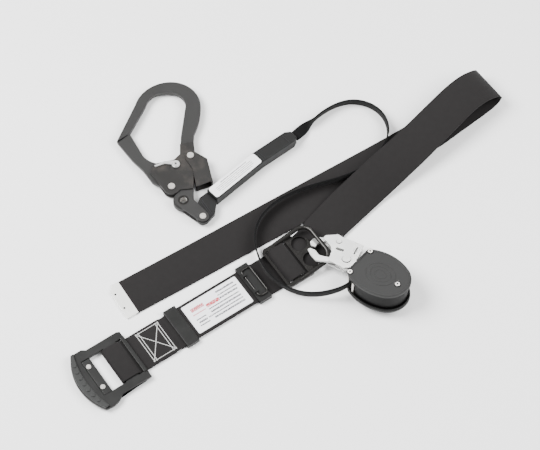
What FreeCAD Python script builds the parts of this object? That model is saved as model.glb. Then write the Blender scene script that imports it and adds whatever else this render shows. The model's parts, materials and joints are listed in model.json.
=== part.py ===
import FreeCAD, Part
import math
import os
import re
from types import SimpleNamespace

import Sketcher
from FreeCAD import Placement, Rotation, Vector

# Work-positioning body belt laid flat on a surface: 50 mm webbing with a slide-bar buckle, keepers and a
# D-plate; a snap connector on the D-plate carries a strap reel; the strap runs round to a shock absorber
# pack and a large flat hook.  Millimetres, +Z up, surface at Z = 0.

os.makedirs("parts", exist_ok=True)
doc = FreeCAD.newDocument("body_belt_lanyard")

SIZES = {
    # place of the middle of the footprint in the layout, so that the origin is under the middle
    "middle_x": 29.5,
    "middle_y": -17.8,
    # belt
    "belt_width": 50.0,
    "belt_thick": 2.0,
    "belt_room": 1.5,        # free room beside the webbing in a slot
    "layer_gap": 0.2,        # gap between stacked webbing layers
    "tip_length": 13.0,
    "label_length": 79.0,
    "label_border": 4.0,     # webbing left showing beside the label
    "label_thick": 0.6,
    "keeper_width": 17.0,
    "keeper_wall": 1.6,
    "keeper_room": 1.2,      # room over the webbing for the label to pass
    "wire_radius": 1.2,
    # buckle
    "frame_thick": 4.0,
    "frame_lift": 3.4,
    "rail_width": 10.5,
    "bar_width": 17.0,
    "slide_bar_width": 11.0,
    "slide_clear": 0.4,
    # D-plate
    "dplate_thick": 3.2,
    "dplate_lift": 2.6,
    "bow_radius": 2.8,
    "bow_reach": 49.0,
    "bow_pitch": 11.5,
    "dplate_hole_radius": 10.0,
    # connector
    "connector_gap": 6.4,
    "connector_plate": 1.6,
    "jaw_thick": 2.6,
    "connector_rivet_radius": 3.0,
    "small_rivet_radius": 2.0,
    "pin_clear": 0.1,
    "rivet_head": 1.0,
    # reel
    "reel_low": 14.6,        # from the connector's mid-plane down to the reel's underside
    "reel_high": 16.4,       # and up to its top face
    "reel_plate": 2.6,
    "reel_pin_radius": 2.2,
    "reel_rivet_radius": 2.0,
    "spacer_radius": 3.0,
    "drum_radius": 23.5,
    "drum_hub_radius": 12.0,
    "drum_flange": 1.5,
    "shaft_radius": 4.0,
    "spool_gap": 0.3,
    # lanyard strap
    "strap_width": 14.0,
    "strap_thick": 2.0,
    # absorber
    "sleeve_height": 16.0,
    "sleeve_wall": 1.2,
    "sleeve_base": 0.2,
    # hook, stacked from the surface upwards
    "hook_thick": 6.0,
    "cheek_thick": 1.6,
    "flange_thick": 1.4,
    "stack_gap": 0.25,
    "hook_head": 1.2,
    "eye_radius": 7.0,
    "eye_wall": 6.0,
    "gate_pin_radius": 3.0,
    "pawl_pin_radius": 2.5,
    "neck_pin_radius": 3.0,
    "thimble_pin_radius": 3.0,
    "spring_wire": 1.0,
}

sheet = doc.addObject("Spreadsheet::Sheet", "Sizes")
for row, (alias, number) in enumerate(SIZES.items(), start=1):
    sheet.set(f"A{row}", alias)
    sheet.set(f"B{row}", str(number))
    sheet.setAlias(f"B{row}", alias)
doc.recompute()
size = SimpleNamespace(**{alias: float(getattr(sheet, alias)) for alias in SIZES})


def amount(words):
    """Value of a sum of named sizes and numbers, such as 'belt_thick + 2*belt_room - 0.5'."""
    result = 0.0
    sign = 1.0
    for word in words.split():
        if word in ("+", "-"):
            sign = 1.0 if word == "+" else -1.0
            continue
        term = -sign if word.startswith("-") else sign
        for factor in word.lstrip("-").split("*"):
            term *= getattr(size, factor) if factor in SIZES else float(factor)
        result += term
    return result


def cells(words):
    """The same sum, as an expression on the sheet."""
    return re.sub(r"[a-z][a-z_]*", lambda found: "Sizes." + found.group(), words)


# ---------------------------------------------------------------- frames
LAYOUT = Placement(Vector(-size.middle_x, -size.middle_y, 0), Rotation())


def frame(x, y, z=0.0, turn=0.0, parent=LAYOUT):
    return parent * Placement(Vector(x, y, z), Rotation(Vector(0, 0, 1), turn))


FRONT_TURN = 34.5
FRONT = frame(20.0, -56.9, 0.0, FRONT_TURN)                     # +X along the belt, towards the bow
TILT = Placement(Vector(61.0, -39.5, 12.4), Rotation(Vector(1, 0, 0), -10.0))
LEANING = LAYOUT * TILT                                         # mid-plane shared by connector and reel
CONNECTOR = frame(32.8, -22.0, 0.0, -24.7, LEANING)             # origin on the big rivet
REEL = frame(71.5, -53.5, 0.0, -38.7, LEANING)                  # +X away from the connector
HOOK = frame(-108.4, 29.0, 0.0, 7.07)                           # origin in the eye, +Y to the hook's crown
ABSORBER = frame(-83.6, 5.4, 0.0, 43.6)                         # origin on the thimble rivet

parts = []


def keep(piece, name, place=None):
    """Name a sub-part, place it and list it for export."""
    piece.Label = name
    if place is not None:
        piece.Placement = place * piece.Placement
    parts.append(piece)
    return piece


# ---------------------------------------------------------------- makers
def origin_plane(body, role):
    return next(item for item in body.Origin.OriginFeatures if item.Role == role)


def draw(sketch, path):
    """Closed outline: (x, y) ends a straight run, (via_x, via_y, x, y) ends an arc through the via point."""
    first = Vector(path[0][0], path[0][1], 0)
    here = first
    for step in path[1:]:
        there = Vector(step[-2], step[-1], 0)
        if len(step) == 2:
            sketch.addGeometry(Part.LineSegment(here, there))
        else:
            sketch.addGeometry(Part.Arc(here, Vector(step[0], step[1], 0), there))
        here = there
    if (here - first).Length > 1e-6:
        sketch.addGeometry(Part.LineSegment(here, first))


def plate(name, path, bottom, thick, holes=(), windows=(), plane="XY_Plane"):
    """Padded sketch: from the height 'bottom' up by 'thick'; holes are (x, y, radius in words)."""
    body = doc.addObject("PartDesign::Body", name)
    sketch = body.newObject("Sketcher::SketchObject", name + "_outline")
    sketch.AttachmentSupport = [(origin_plane(body, plane), "")]
    sketch.MapMode = "FlatFace"
    draw(sketch, path)
    for window in windows:
        draw(sketch, window)
    for x, y, radius in holes:
        circle = sketch.addGeometry(Part.Circle(Vector(x, y, 0), Vector(0, 0, 1), amount(radius)))
        rule = sketch.addConstraint(Sketcher.Constraint("Radius", circle, amount(radius)))
        sketch.setExpression(f"Constraints[{rule}]", cells(radius))
    sketch.setExpression("AttachmentOffset.Base.z", cells(bottom))
    pad = body.newObject("PartDesign::Pad", name + "_pad")
    pad.Profile = sketch
    pad.setExpression("Length", cells(thick))
    sketch.Visibility = False
    return body


def rod(name, x, y, bottom, height, radius):
    """Upright cylinder."""
    piece = doc.addObject("Part::Cylinder", name)
    piece.setExpression("Radius", cells(radius))
    piece.setExpression("Height", cells(height))
    piece.Placement.Base = Vector(x, y, amount(bottom))
    return piece


def block(name, corner, length, width, height):
    """Box from its lowest corner (numbers); its sides are sums of sizes in words."""
    piece = doc.addObject("Part::Box", name)
    piece.setExpression("Length", cells(length))
    piece.setExpression("Width", cells(width))
    piece.setExpression("Height", cells(height))
    piece.Placement.Base = Vector(*corner)
    return piece


def fuse(name, pieces):
    result = doc.addObject("Part::MultiFuse", name)
    result.Shapes = pieces
    result.Refine = True
    return result


def cut(name, base, tools):
    result = doc.addObject("Part::Cut", name)
    result.Base = base
    result.Tool = tools[0] if len(tools) == 1 else fuse(name + "_tools", tools)
    return result


def group(name, pieces):
    result = doc.addObject("Part::Compound", name)
    result.Links = pieces
    return result


def stepped_rivets(name, spots, steps):
    """Rivets of stacked coaxial cylinders: steps are (bottom, height, radius), all in words."""
    rivets = []
    for spot, (x, y) in enumerate(spots):
        rods = [rod(f"{name}_{spot}_{step}", x, y, *words) for step, words in enumerate(steps)]
        rivets.append(rods[0] if len(rods) == 1 else fuse(f"{name}_{spot}", rods))
    return rivets[0] if len(rivets) == 1 else group(name, rivets)


def feature(name, shape):
    piece = doc.addObject("Part::Feature", name)
    piece.Shape = shape
    return piece


def rounded_route(points, arc_share=0.45):
    """Wire of straight runs joined by tangent arcs, and the arcs' radii."""
    edges = []
    radii = []
    start = points[0]
    for before, corner, after in zip(points, points[1:], points[2:]):
        back = before - corner
        ahead = after - corner
        half_turn = (math.pi - back.getAngle(ahead)) / 2
        reach = arc_share * min(back.Length, ahead.Length)
        radii.append(reach / math.tan(half_turn))
        back.normalize()
        ahead.normalize()
        entry = corner + back * reach
        leave = corner + ahead * reach
        towards = (back + ahead).normalize()
        middle = corner + towards * (radii[-1] / math.cos(half_turn) - radii[-1])
        edges.append(Part.LineSegment(start, entry).toShape())
        edges.append(Part.Arc(entry, middle, leave).toShape())
        start = leave
    edges.append(Part.LineSegment(start, points[-1]).toShape())
    return Part.Wire(edges), radii


def tube(wire, radius):
    """Round bar along a wire; the wire starts square to its profile."""
    first = wire.Edges[0]
    start = first.valueAt(first.FirstParameter)
    heading = first.tangentAt(first.FirstParameter)
    profile = Part.Wire([Part.makeCircle(radius, start, heading)])
    return wire.makePipeShell([profile], True, False)


def band(points, thick):
    """Closed outline of a strip of constant thickness about a line of points, with mitred corners."""
    upper = []
    lower = []
    for index, point in enumerate(points):
        here = Vector(*point, 0)
        ways = []
        if index > 0:
            ways.append((here - Vector(*points[index - 1], 0)).normalize())
        if index < len(points) - 1:
            ways.append((Vector(*points[index + 1], 0) - here).normalize())
        mean = sum(ways[1:], ways[0]).normalize()
        out = Vector(-mean.y, mean.x, 0)
        side = Vector(-ways[0].y, ways[0].x, 0)
        out = out * (thick / 2 / out.dot(side))
        upper.append(here + out)
        lower.append(here - out)
    return [(spot.x, spot.y) for spot in upper + lower[::-1]]


# ---------------------------------------------------------------- belt webbing
half_belt = size.belt_width / 2
slot_half = half_belt + size.belt_room
belt_low = size.belt_thick / 2                                  # mid-thickness height of a lying belt
second_layer = 1.5 * size.belt_thick + size.layer_gap
over_keeper = size.keeper_wall + size.layer_gap + belt_low

BAR_LEFT, BAR_RIGHT = -250.0, -250.0 + size.bar_width           # the buckle bar that the belt goes round
BAR_TOP = size.frame_lift + size.frame_thick
FRONT_KEEPER, REAR_KEEPER = -155.0, -49.0                       # middles of the two keepers
CENTRE_BAR = 5.5                                                # half width of the D-plate's centre bar
SLOT_OUT = 13.5                                                 # outer edge of its left slot
SLOT_RIGHT = 15.0
FREE_START = 16.0                                               # where the webbing leaves the D-plate

hump = size.dplate_lift + size.dplate_thick + size.layer_gap + size.belt_thick / 2 + 0.6
raised_from, raised_to = FRONT_KEEPER - 9.1, REAR_KEEPER + 9.1  # the webbing rides over both keepers' floors

front_line = [
    (-176.5, belt_low), (BAR_LEFT + 3, belt_low), (BAR_LEFT - 2.2, belt_low + 1.2),
    (BAR_LEFT - 4.0, (BAR_TOP + belt_low) / 2), (BAR_LEFT - 1.5, BAR_TOP + belt_low + 0.2),
    (BAR_RIGHT + 0.8, BAR_TOP + belt_low + 0.4), (BAR_RIGHT + 5.2, second_layer + 0.1),
    (-175.5, second_layer), (-170.5, belt_low), (raised_from - 3.4, belt_low), (raised_from, over_keeper),
    (raised_to, over_keeper), (raised_to + 3.4, belt_low), (-16.0, belt_low), (-12.5, belt_low + 0.2),
    (-8.4, hump), (8.4, hump), (12.5, belt_low + 0.2), (FREE_START, belt_low),
]
belt_front = plate("belt_front", band(front_line, size.belt_thick), "-0.5*belt_width", "belt_width",
                   plane="XZ_Plane")
belt_front.Placement = FRONT


def belt_section(x, y, z, lean, heading, tangent):
    """Rectangle of webbing across the belt; lean lifts the left edge, heading is the plan direction."""
    across = Rotation(Vector(0, 0, 1), heading) * Rotation(Vector(1, 0, 0), lean) * Vector(0, 1, 0)
    normal = tangent.cross(across).normalize()
    centre = Vector(x, y, z)
    half = across * half_belt
    rise = normal * (size.belt_thick / 2)
    corners = [centre - half - rise, centre + half - rise, centre + half + rise, centre - half + rise]
    return Part.makePolygon(corners + corners[:1])


free_start = FRONT * Vector(FREE_START, 0, belt_low) - LAYOUT.Base
free_line = [  # x, y, z of the middle, lean of the across direction, plan heading
    (free_start.x, free_start.y, free_start.z, 0.0, FRONT_TURN),
    (53.4, -26.0, belt_low + 0.15, 0.0, 45.0),
    (63.7, -12.7, 2.3, 2.6, 46.5),
    (79.0, 5.0, 4.0, 3.5, 45.5),
    (105.0, 31.0, 8.6, 14.5, 43.5),
    (130.0, 55.0, 13.0, 21.0, 43.5),
    (158.0, 82.0, 17.5, 13.0, 43.5),
    (186.0, 109.0, 22.5, 6.0, 42.5),
    (218.0, 142.0, 28.5, 2.0, 41.0),
    (243.0, 168.0, 31.5, 0.0, 38.5),
    (260.0, 183.0, 31.0, 0.0, 36.5),
    (272.5, 192.0, 27.8, 0.0, 36.0),
    (280.5, 198.0, 22.0, 0.0, 36.0),
    (283.3, 200.0, 15.5, 0.0, 36.0),
    (281.0, 198.3, 9.0, 0.0, 36.0),
    (273.5, 192.8, 3.8, 0.0, 36.0),
    (261.0, 183.2, belt_low + 0.2, 0.0, 36.5),
    (232.0, 159.5, belt_low, 0.0, 38.0),
    (200.0, 133.5, belt_low, 0.0, 36.0),
    (162.0, 107.5, belt_low, 0.0, 33.0),
    (-6.0, 1.5, belt_low, 0.0, 32.2),
    (-176.0, -104.6, belt_low, 0.0, 32.2),
]
sections = []
for index, (x, y, z, lean, heading) in enumerate(free_line):
    ahead = Vector(*free_line[min(index + 1, len(free_line) - 1)][:3])
    behind = Vector(*free_line[max(index - 1, 0)][:3])
    way = (ahead - behind).normalize()
    if index == 0:
        way = Rotation(Vector(0, 0, 1), FRONT_TURN) * Vector(1, 0, 0)
    sections.append(belt_section(x, y, z, lean, heading, way))
belt_free = feature("belt_free", Part.makeLoft(sections, True, True))
belt_free.Placement = LAYOUT
keep(fuse("belt_webbing", [belt_front, belt_free]), "belt_webbing")

# metal tip: one corner clipped, its upper skin over the end of the webbing
TIP = frame(-176.0, -104.6, 0.0, 32.2)
tip_nose = plate("tip_nose", [(-0.1, -half_belt), (-0.1, half_belt), (-6.0, half_belt),
                              (-size.tip_length, half_belt - 8.0), (-size.tip_length, -half_belt)],
                 "0.0", "belt_thick + 0.6")
tip_skin = plate("tip_skin", [(-2.0, -half_belt), (3.0, -half_belt), (3.0, half_belt), (-2.0, half_belt)],
                 "belt_thick + 0.05", "0.55")
keep(fuse("belt_tip", [tip_nose, tip_skin]), "belt_tip", TIP)
keep(stepped_rivets("tip_rivets", [(-9.0, 11.0), (-9.0, -11.0)],
                    [("belt_thick + 0.6", "0.5", "1.5")]), "tip_rivets", TIP)

# keepers: closed loops round the belt
def keeper(name, middle, lugs=()):
    inner_high = size.layer_gap + size.belt_thick + size.keeper_room
    outer = block(name + "_outer", (middle - size.keeper_width / 2, -slot_half - size.keeper_wall, 0),
                  "keeper_width", "belt_width + 2*belt_room + 2*keeper_wall",
                  "belt_thick + layer_gap + keeper_room + 2*keeper_wall")
    inside = block(name + "_inside", (middle - size.keeper_width / 2 - 1, -slot_half, size.keeper_wall),
                   "keeper_width + 2", "belt_width + 2*belt_room", "belt_thick + layer_gap + keeper_room")
    loop = cut(name + "_loop", outer, [inside])
    return (fuse(name, [loop, *lugs]) if lugs else loop), 2 * size.keeper_wall + inner_high


front_keeper, keeper_top = keeper("front_keeper", FRONT_KEEPER)
keep(front_keeper, "front_keeper", FRONT)

# the rear keeper carries a hinged wire ring that parks the hook
RING_AXIS_X = REAR_KEEPER - 5.0
RING_AXIS_Z = keeper_top + size.wire_radius + 0.3
lugs = []
for side in (-1, 1):
    lug = block(f"ring_lug_{side}", (RING_AXIS_X - 2.4, side * 13.0 - 2.0, keeper_top - 0.2), "4.8", "4.0",
                "2*wire_radius + 2.0")
    bore = doc.addObject("Part::Cylinder", f"ring_bore_{side}")
    bore.setExpression("Radius", cells("wire_radius + pin_clear"))
    bore.Height = 10.0
    bore.Placement = Placement(Vector(RING_AXIS_X, side * 13.0 - 5.0, RING_AXIS_Z),
                               Rotation(Vector(1, 0, 0), -90))
    lugs.append(cut(f"ring_lug_bored_{side}", lug, [bore]))
rear_keeper, keeper_top = keeper("rear_keeper", REAR_KEEPER, lugs)
keep(rear_keeper, "rear_keeper", FRONT)

ring_reach, ring_half, ring_bend = 13.0, 21.0, 4.0
ring_corners = [Vector(RING_AXIS_X, 0, RING_AXIS_Z), Vector(RING_AXIS_X, ring_half, RING_AXIS_Z),
                Vector(RING_AXIS_X + ring_reach, ring_half, RING_AXIS_Z),
                Vector(RING_AXIS_X + ring_reach, -ring_half, RING_AXIS_Z),
                Vector(RING_AXIS_X, -ring_half, RING_AXIS_Z)]


def bent_wire(corners, bend, closed):
    """Wire through corners with equal round bends."""
    spots = corners + corners[:2] if closed else corners
    edges = []
    start = spots[0]
    for before, corner, after in zip(spots, spots[1:], spots[2:]):
        back = (before - corner).normalize()
        ahead = (after - corner).normalize()
        half_turn = (math.pi - back.getAngle(ahead)) / 2
        if half_turn < 1e-6:
            continue
        reach = bend * math.tan(half_turn)
        entry = corner + back * reach
        leave = corner + ahead * reach
        towards = (back + ahead).normalize()
        middle = corner + towards * (bend / math.cos(half_turn) - bend)
        edges += [Part.LineSegment(start, entry).toShape(), Part.Arc(entry, middle, leave).toShape()]
        start = leave
    last = corners[0] if closed else corners[-1]
    if (last - start).Length > 1e-6:
        edges.append(Part.LineSegment(start, last).toShape())
    return Part.Wire(edges)


keep(feature("hanger_ring", tube(bent_wire(ring_corners, ring_bend, True), size.wire_radius)),
     "hanger_ring", FRONT)

label_half = half_belt - size.label_border
label_start = FRONT_KEEPER + size.keeper_width / 2 + 4.5
label_at = Placement(Vector(label_start, -label_half, over_keeper + belt_low + 0.03), Rotation())
keep(block("belt_label", (0, 0, 0), "label_length", "belt_width - 2*label_border", "label_thick"),
     "belt_label", FRONT * label_at)

# ---------------------------------------------------------------- buckle
rail = slot_half + size.rail_width
FRAME_RIGHT, WINDOW_RIGHT = -221.0, -226.0
WINDOW_LEFT, GRIP_LEFT = -281.5, -302.0
frame_path = [(FRAME_RIGHT, rail - 2), (FRAME_RIGHT - 4, rail), (-268.0, rail), (-273.0, rail + 3.5),
              (-287.0, rail + 3.5), (GRIP_LEFT, -2.0, -289.0, -rail - 6.5),
              (-278.0, -rail - 7.5), (-269.0, -rail - 5.0), (-262.0, -rail), (FRAME_RIGHT, -rail)]
opening = [(WINDOW_LEFT, -slot_half), (WINDOW_RIGHT, -slot_half), (WINDOW_RIGHT, slot_half),
           (WINDOW_LEFT, slot_half)]
frame_ring = plate("frame_ring", frame_path, "frame_lift", "frame_thick", windows=[opening])
frame_bar = block("frame_bar", (BAR_LEFT, -slot_half - 1, size.frame_lift), "bar_width",
                  "belt_width + 2*belt_room + 2", "frame_thick")
strip_relief = block("strip_relief", (WINDOW_RIGHT - 1, -slot_half, 0), "8.0", "belt_width + 2*belt_room",
                     "2*belt_thick + 3*layer_gap + 0.8")
strip_top = block("strip_top", (WINDOW_RIGHT, -slot_half - 1, 2 * size.belt_thick + 1.6), "5.0",
                  "belt_width + 2*belt_room + 2", "frame_thick - 0.6")
side_feet = [block(f"frame_foot_{side}", (-288.0, side * (slot_half + 6.0) - 4.0, 0.2), "60.0", "8.0",
                   "frame_lift") for side in (-1, 1)]
end_foot = block("frame_foot_end", (-292.0, -half_belt, 0.2), "9.0", "belt_width", "frame_lift")
frame_body = fuse("frame_body", [cut("frame_cut", frame_ring, [strip_relief]), frame_bar, strip_top,
                                 *side_feet, end_foot])
keep(frame_body, "buckle_frame", FRONT)

grip_path = [(-284.0, rail + 2.5), (-288.0, rail + 2.5), (GRIP_LEFT + 1.2, -2.0, -289.5, -rail - 5.0),
             (-284.0, -rail - 5.0), (-290.5, -2.0, -284.0, rail + 2.5)]
grip = plate("grip_crescent", grip_path, "frame_lift + frame_thick", "3.4")
ribs = []
RIB_COUNT = 7
for rib in range(RIB_COUNT):
    offset = (rib - (RIB_COUNT - 1) / 2) * 9.0
    x = GRIP_LEFT + 7.6 + 0.0042 * offset * offset
    ribs.append(rod(f"grip_rib_{rib}", x, offset - 2.0, "frame_lift + frame_thick + 3.2", "1.2", "2.6"))
keep(fuse("buckle_grip", [grip, *ribs]), "buckle_grip", FRONT)

SLIDE_LEFT = WINDOW_LEFT + size.slide_clear
keep(block("slide_bar", (0, 0, 0), "slide_bar_width", "belt_width + 2*belt_room - 2*slide_clear",
           "frame_thick - 1"),
     "slide_bar", FRONT * Placement(Vector(SLIDE_LEFT, -slot_half + size.slide_clear, size.frame_lift + 0.5),
                                    Rotation()))
slide_mid = SLIDE_LEFT + size.slide_bar_width / 2 - 1.5
keep(stepped_rivets("slide_rivets", [(slide_mid, 16.0), (slide_mid, -16.0)],
                    [("frame_lift + frame_thick - 0.5", "rivet_head", "3.0")]), "slide_rivets", FRONT)

# ---------------------------------------------------------------- D-plate
dplate_half = slot_half + 5.0
DPLATE_LEFT, DPLATE_RIGHT = -17.0, 41.0
HOLE_X, HOLE_Y = 28.5, 13.0
dplate_path = [(DPLATE_LEFT, -dplate_half + 4), (DPLATE_LEFT + 4, -dplate_half),
               (20.0, -dplate_half), (34.0, -half_belt + 3), (DPLATE_RIGHT, -14.0), (DPLATE_RIGHT, 14.0),
               (34.0, half_belt - 3), (20.0, dplate_half), (DPLATE_LEFT + 4, dplate_half),
               (DPLATE_LEFT, dplate_half - 4)]
left_slot = [(-SLOT_OUT, -slot_half), (-CENTRE_BAR, -slot_half), (-CENTRE_BAR, slot_half),
             (-SLOT_OUT, slot_half)]
right_slot = [(CENTRE_BAR, -slot_half), (SLOT_RIGHT, -slot_half), (SLOT_RIGHT, slot_half),
              (CENTRE_BAR, slot_half)]
dplate_flat = plate("dplate_flat", dplate_path, "dplate_lift", "dplate_thick",
                    holes=[(HOLE_X, HOLE_Y, "dplate_hole_radius"), (HOLE_X, -HOLE_Y, "dplate_hole_radius")],
                    windows=[left_slot, right_slot])
bow_half = dplate_half - size.bow_radius + 0.6
bow_low = size.dplate_lift + size.dplate_thick / 2
bow_slope = math.tan(math.radians(size.bow_pitch))


def on_bow(x, y):
    return Vector(x, y, bow_low + x * bow_slope)


bow_wire = bent_wire([on_bow(2.0, bow_half), on_bow(size.bow_reach, bow_half),
                      on_bow(size.bow_reach, -bow_half), on_bow(2.0, -bow_half)], 15.0, False)
bow = feature("bow", tube(bow_wire, size.bow_radius))
keep(fuse("d_plate", [dplate_flat, bow]), "d_plate", FRONT)

# ---------------------------------------------------------------- snap connector
side_path = [(-40.0, 20.0), (-38.0, 24.5), (-25.0, 32.0), (-15.0, 30.0), (11.0, 29.0), (12.3, -7.8),
             (2.7, -14.0), (-20.0, -10.5), (-21.5, 3.0), (-25.5, 10.5)]
small_rivet = (-19.4, 22.0)
rivet_holes = [(0.0, 0.0, "connector_rivet_radius"), (*small_rivet, "small_rivet_radius")]
latch_window = [(-18.5, 9.0), (-8.5, 9.0), (-8.5, 12.5), (-18.5, 12.5)]
slit = [(4.2, 11.5), (6.2, 11.5), (6.2, 23.0), (4.2, 23.0)]
keep(plate("connector_top_plate", side_path, "0.5*connector_gap", "connector_plate", rivet_holes,
           [latch_window, slit]), "connector_top_plate", CONNECTOR)
keep(plate("connector_bottom_plate", side_path, "-0.5*connector_gap - connector_plate", "connector_plate",
           rivet_holes), "connector_bottom_plate", CONNECTOR)

jaw_path = [(8.0, 27.0), (-24.0, 28.5), (-37.0, 24.5), (-47.0, 22.5), (-52.5, 16.5), (-53.5, 10.5),
            (-50.0, 6.0), (-44.5, 6.5), (-44.0, 12.5), (-38.0, 18.5), (-24.0, 17.5), (-16.0, 14.5),
            (8.0, 14.5)]
keep(plate("connector_jaw", jaw_path, "-0.5*connector_gap", "jaw_thick",
           [(*small_rivet, "small_rivet_radius")]), "connector_jaw", CONNECTOR)

gate_path = [(-4.0, 5.0), (1.0, 7.0, 6.0, 0.0), (4.5, -5.0, -1.0, -6.5), (-22.0, -12.5), (-34.0, -16.5),
             (-42.5, -11.5), (-50.5, -4.0), (-48.0, -0.5), (-41.0, -1.5), (-34.0, -6.5), (-24.0, -5.5)]
keep(plate("connector_gate", gate_path, "0.5*connector_gap - jaw_thick", "jaw_thick - 0.05",
           [(0.0, 0.0, "connector_rivet_radius + pin_clear")]), "connector_gate", CONNECTOR)

reel_pin_at = CONNECTOR.inverse() * (REEL * Vector(-29.5, 0, 0))
tongue_end = size.reel_pin_radius + 1.8
tongue_path = [(-13.0, -7.0), (-13.0, 4.5), (8.0, 4.5), (reel_pin_at.x, reel_pin_at.y + tongue_end),
               (reel_pin_at.x + tongue_end, reel_pin_at.y, reel_pin_at.x, reel_pin_at.y - tongue_end),
               (2.0, -11.0)]
keep(plate("connector_tongue", tongue_path, "-0.5*connector_gap + 0.05",
           "connector_gap - jaw_thick - 0.5",
           [(0.0, 0.0, "connector_rivet_radius"),
            (reel_pin_at.x, reel_pin_at.y, "reel_pin_radius + pin_clear")]), "connector_tongue", CONNECTOR)

stack = "connector_gap + 2*connector_plate"
under = "-0.5*connector_gap - connector_plate"
over = "0.5*connector_gap + connector_plate"
keep(stepped_rivets("connector_rivet", [(0.0, 0.0)],
                    [(under, stack, "connector_rivet_radius"), (over, "rivet_head", "5.2"),
                     (under + " - 0.8", "0.8", "4.6")]), "connector_rivet", CONNECTOR)
keep(stepped_rivets("connector_small_rivet", [small_rivet],
                    [(under, stack, "small_rivet_radius"), (over, "0.8*rivet_head", "3.2"),
                     (under + " - 0.6", "0.6", "3.0")]), "connector_small_rivet", CONNECTOR)


def coil(name, x, y, bottom, turns, radius, wire):
    """Torsion spring: its coils drawn as rings stacked with a hair's gap."""
    rings = []
    for turn in range(turns):
        ring = doc.addObject("Part::Torus", f"{name}_{turn}")
        ring.Radius1 = radius
        ring.Radius2 = wire / 2
        ring.Placement.Base = Vector(x, y, bottom + wire / 2 + 1.05 * wire * turn)
        rings.append(ring)
    return rings[0] if turns == 1 else group(name, rings)


spring_room = size.connector_gap - size.jaw_thick - 0.4
keep(coil("connector_spring", -6.0, 20.0, -size.connector_gap / 2 + size.jaw_thick + 0.1, 3, 4.0,
          spring_room / 3.1), "connector_spring", CONNECTOR)

# ---------------------------------------------------------------- reel
reel_path = [(-33.5, -19.0), (-33.5, 19.0), (-30.5, 23.0, -26.0, 26.5), (-4.0, 32.0, 22.0, 27.5),
             (41.5, 0.0, 22.0, -27.5), (-4.0, -32.0, -26.0, -26.5), (-30.5, -23.0, -33.5, -19.0)]
reel_rivet_spots = [(-29.0, 20.5), (-29.0, -20.5), (27.5, 0.0)]
reel_holes = [(x, y, "reel_rivet_radius") for x, y in reel_rivet_spots]
keep(plate("reel_bottom_plate", reel_path, "-reel_low", "reel_plate", reel_holes),
     "reel_bottom_plate", REEL)
keep(plate("reel_top_plate", reel_path, "reel_high - reel_plate", "reel_plate", reel_holes),
     "reel_top_plate", REEL)
inside_low = "-reel_low + reel_plate"
inside_high = "reel_low + reel_high - 2*reel_plate"
keep(stepped_rivets("reel_rivets", reel_rivet_spots,
                    [("-reel_low", "reel_low + reel_high", "reel_rivet_radius"),
                     (inside_low, inside_high, "spacer_radius - 0.6"),
                     ("reel_high", "rivet_head", "spacer_radius")]), "reel_rivets", REEL)
band_path = [(-18.0, 26.6), (-3.0, 29.0, 20.5, 25.0), (38.5, 0.0, 20.5, -25.0), (-3.0, -29.0, -16.0, -27.0),
             (-16.0, -25.0), (-3.0, -27.0, 19.3, -23.2), (36.3, 0.0, 19.3, 23.2), (-3.0, 27.0, -18.0, 24.6)]
keep(plate("reel_side_band", band_path, inside_low, inside_high), "reel_side_band", REEL)
keep(rod("reel_pin", 0, 0, "0.0", inside_high, "reel_pin_radius"), "reel_pin",
     REEL * Placement(Vector(-29.5, 0, amount(inside_low)), Rotation()))

keep(rod("mouth_roller", 0, 0, "0.0", inside_high, "2.0"), "mouth_roller",
     REEL * Placement(Vector(-19.8, -25.5, amount(inside_low)), Rotation()))

DRUM_X = -0.5
middle_w = (size.reel_high - size.reel_low) / 2
spool_low = middle_w - size.strap_width / 2 - size.spool_gap
spool_high = middle_w + size.strap_width / 2 + size.spool_gap
DRUM = REEL * Placement(Vector(DRUM_X, 0, 0), Rotation())


def ring(name, bottom, height, outer, inner):
    """Flat ring; heights are numbers worked out from the spool, radii are words."""
    whole = doc.addObject("Part::Cylinder", name + "_whole")
    whole.Height = height
    whole.setExpression("Radius", cells(outer))
    whole.Placement.Base = Vector(0, 0, bottom)
    bore = doc.addObject("Part::Cylinder", name + "_bore")
    bore.Height = height + 2
    bore.setExpression("Radius", cells(inner))
    bore.Placement.Base = Vector(0, 0, bottom - 1)
    return cut(name, whole, [bore])


shaft_bore = "shaft_radius + pin_clear"
hub = ring("drum_hub", spool_low, spool_high - spool_low, "drum_hub_radius", shaft_bore)
low_flange = ring("drum_low_flange", spool_low - size.drum_flange, size.drum_flange, "drum_radius",
                  shaft_bore)
high_flange = ring("drum_high_flange", spool_high, size.drum_flange, "drum_radius", shaft_bore)
keep(fuse("drum", [hub, low_flange, high_flange]), "drum", DRUM)
keep(ring("wound_strap", middle_w - size.strap_width / 2, size.strap_width, "drum_radius - 1.5",
          "drum_hub_radius + 0.05"), "wound_strap", DRUM)
keep(rod("drum_shaft", 0, 0, "0.0", inside_high, "shaft_radius"), "drum_shaft",
     DRUM * Placement(Vector(0, 0, amount(inside_low)), Rotation()))

case_low = -size.reel_low + size.reel_plate
case_high = spool_low - size.drum_flange - size.spool_gap
case_skin = ring("case_skin", case_low, 0.6, "drum_radius - 1", shaft_bore)
case_rim = ring("case_rim", case_low, case_high - case_low, "drum_radius - 1", "drum_radius - 2")
keep(fuse("spring_case", [case_skin, case_rim]), "spring_case", DRUM)


def spiral(inner, pitch, turns, thick, bottom, height):
    """Flat spiral strip: Archimedean line, offset to its thickness and raised to its height."""
    inside = []
    outside = []
    steps = int(turns * 16)
    for step in range(steps + 1):
        angle = 2 * math.pi * step / 16
        radius = inner + pitch * step / 16
        inside.append(Vector(radius * math.cos(angle), radius * math.sin(angle), bottom))
        outer = radius + thick
        outside.append(Vector(outer * math.cos(angle), outer * math.sin(angle), bottom))
    loop = inside + outside[::-1] + inside[:1]
    return Part.Face(Part.makePolygon(loop)).extrude(Vector(0, 0, height))


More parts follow.
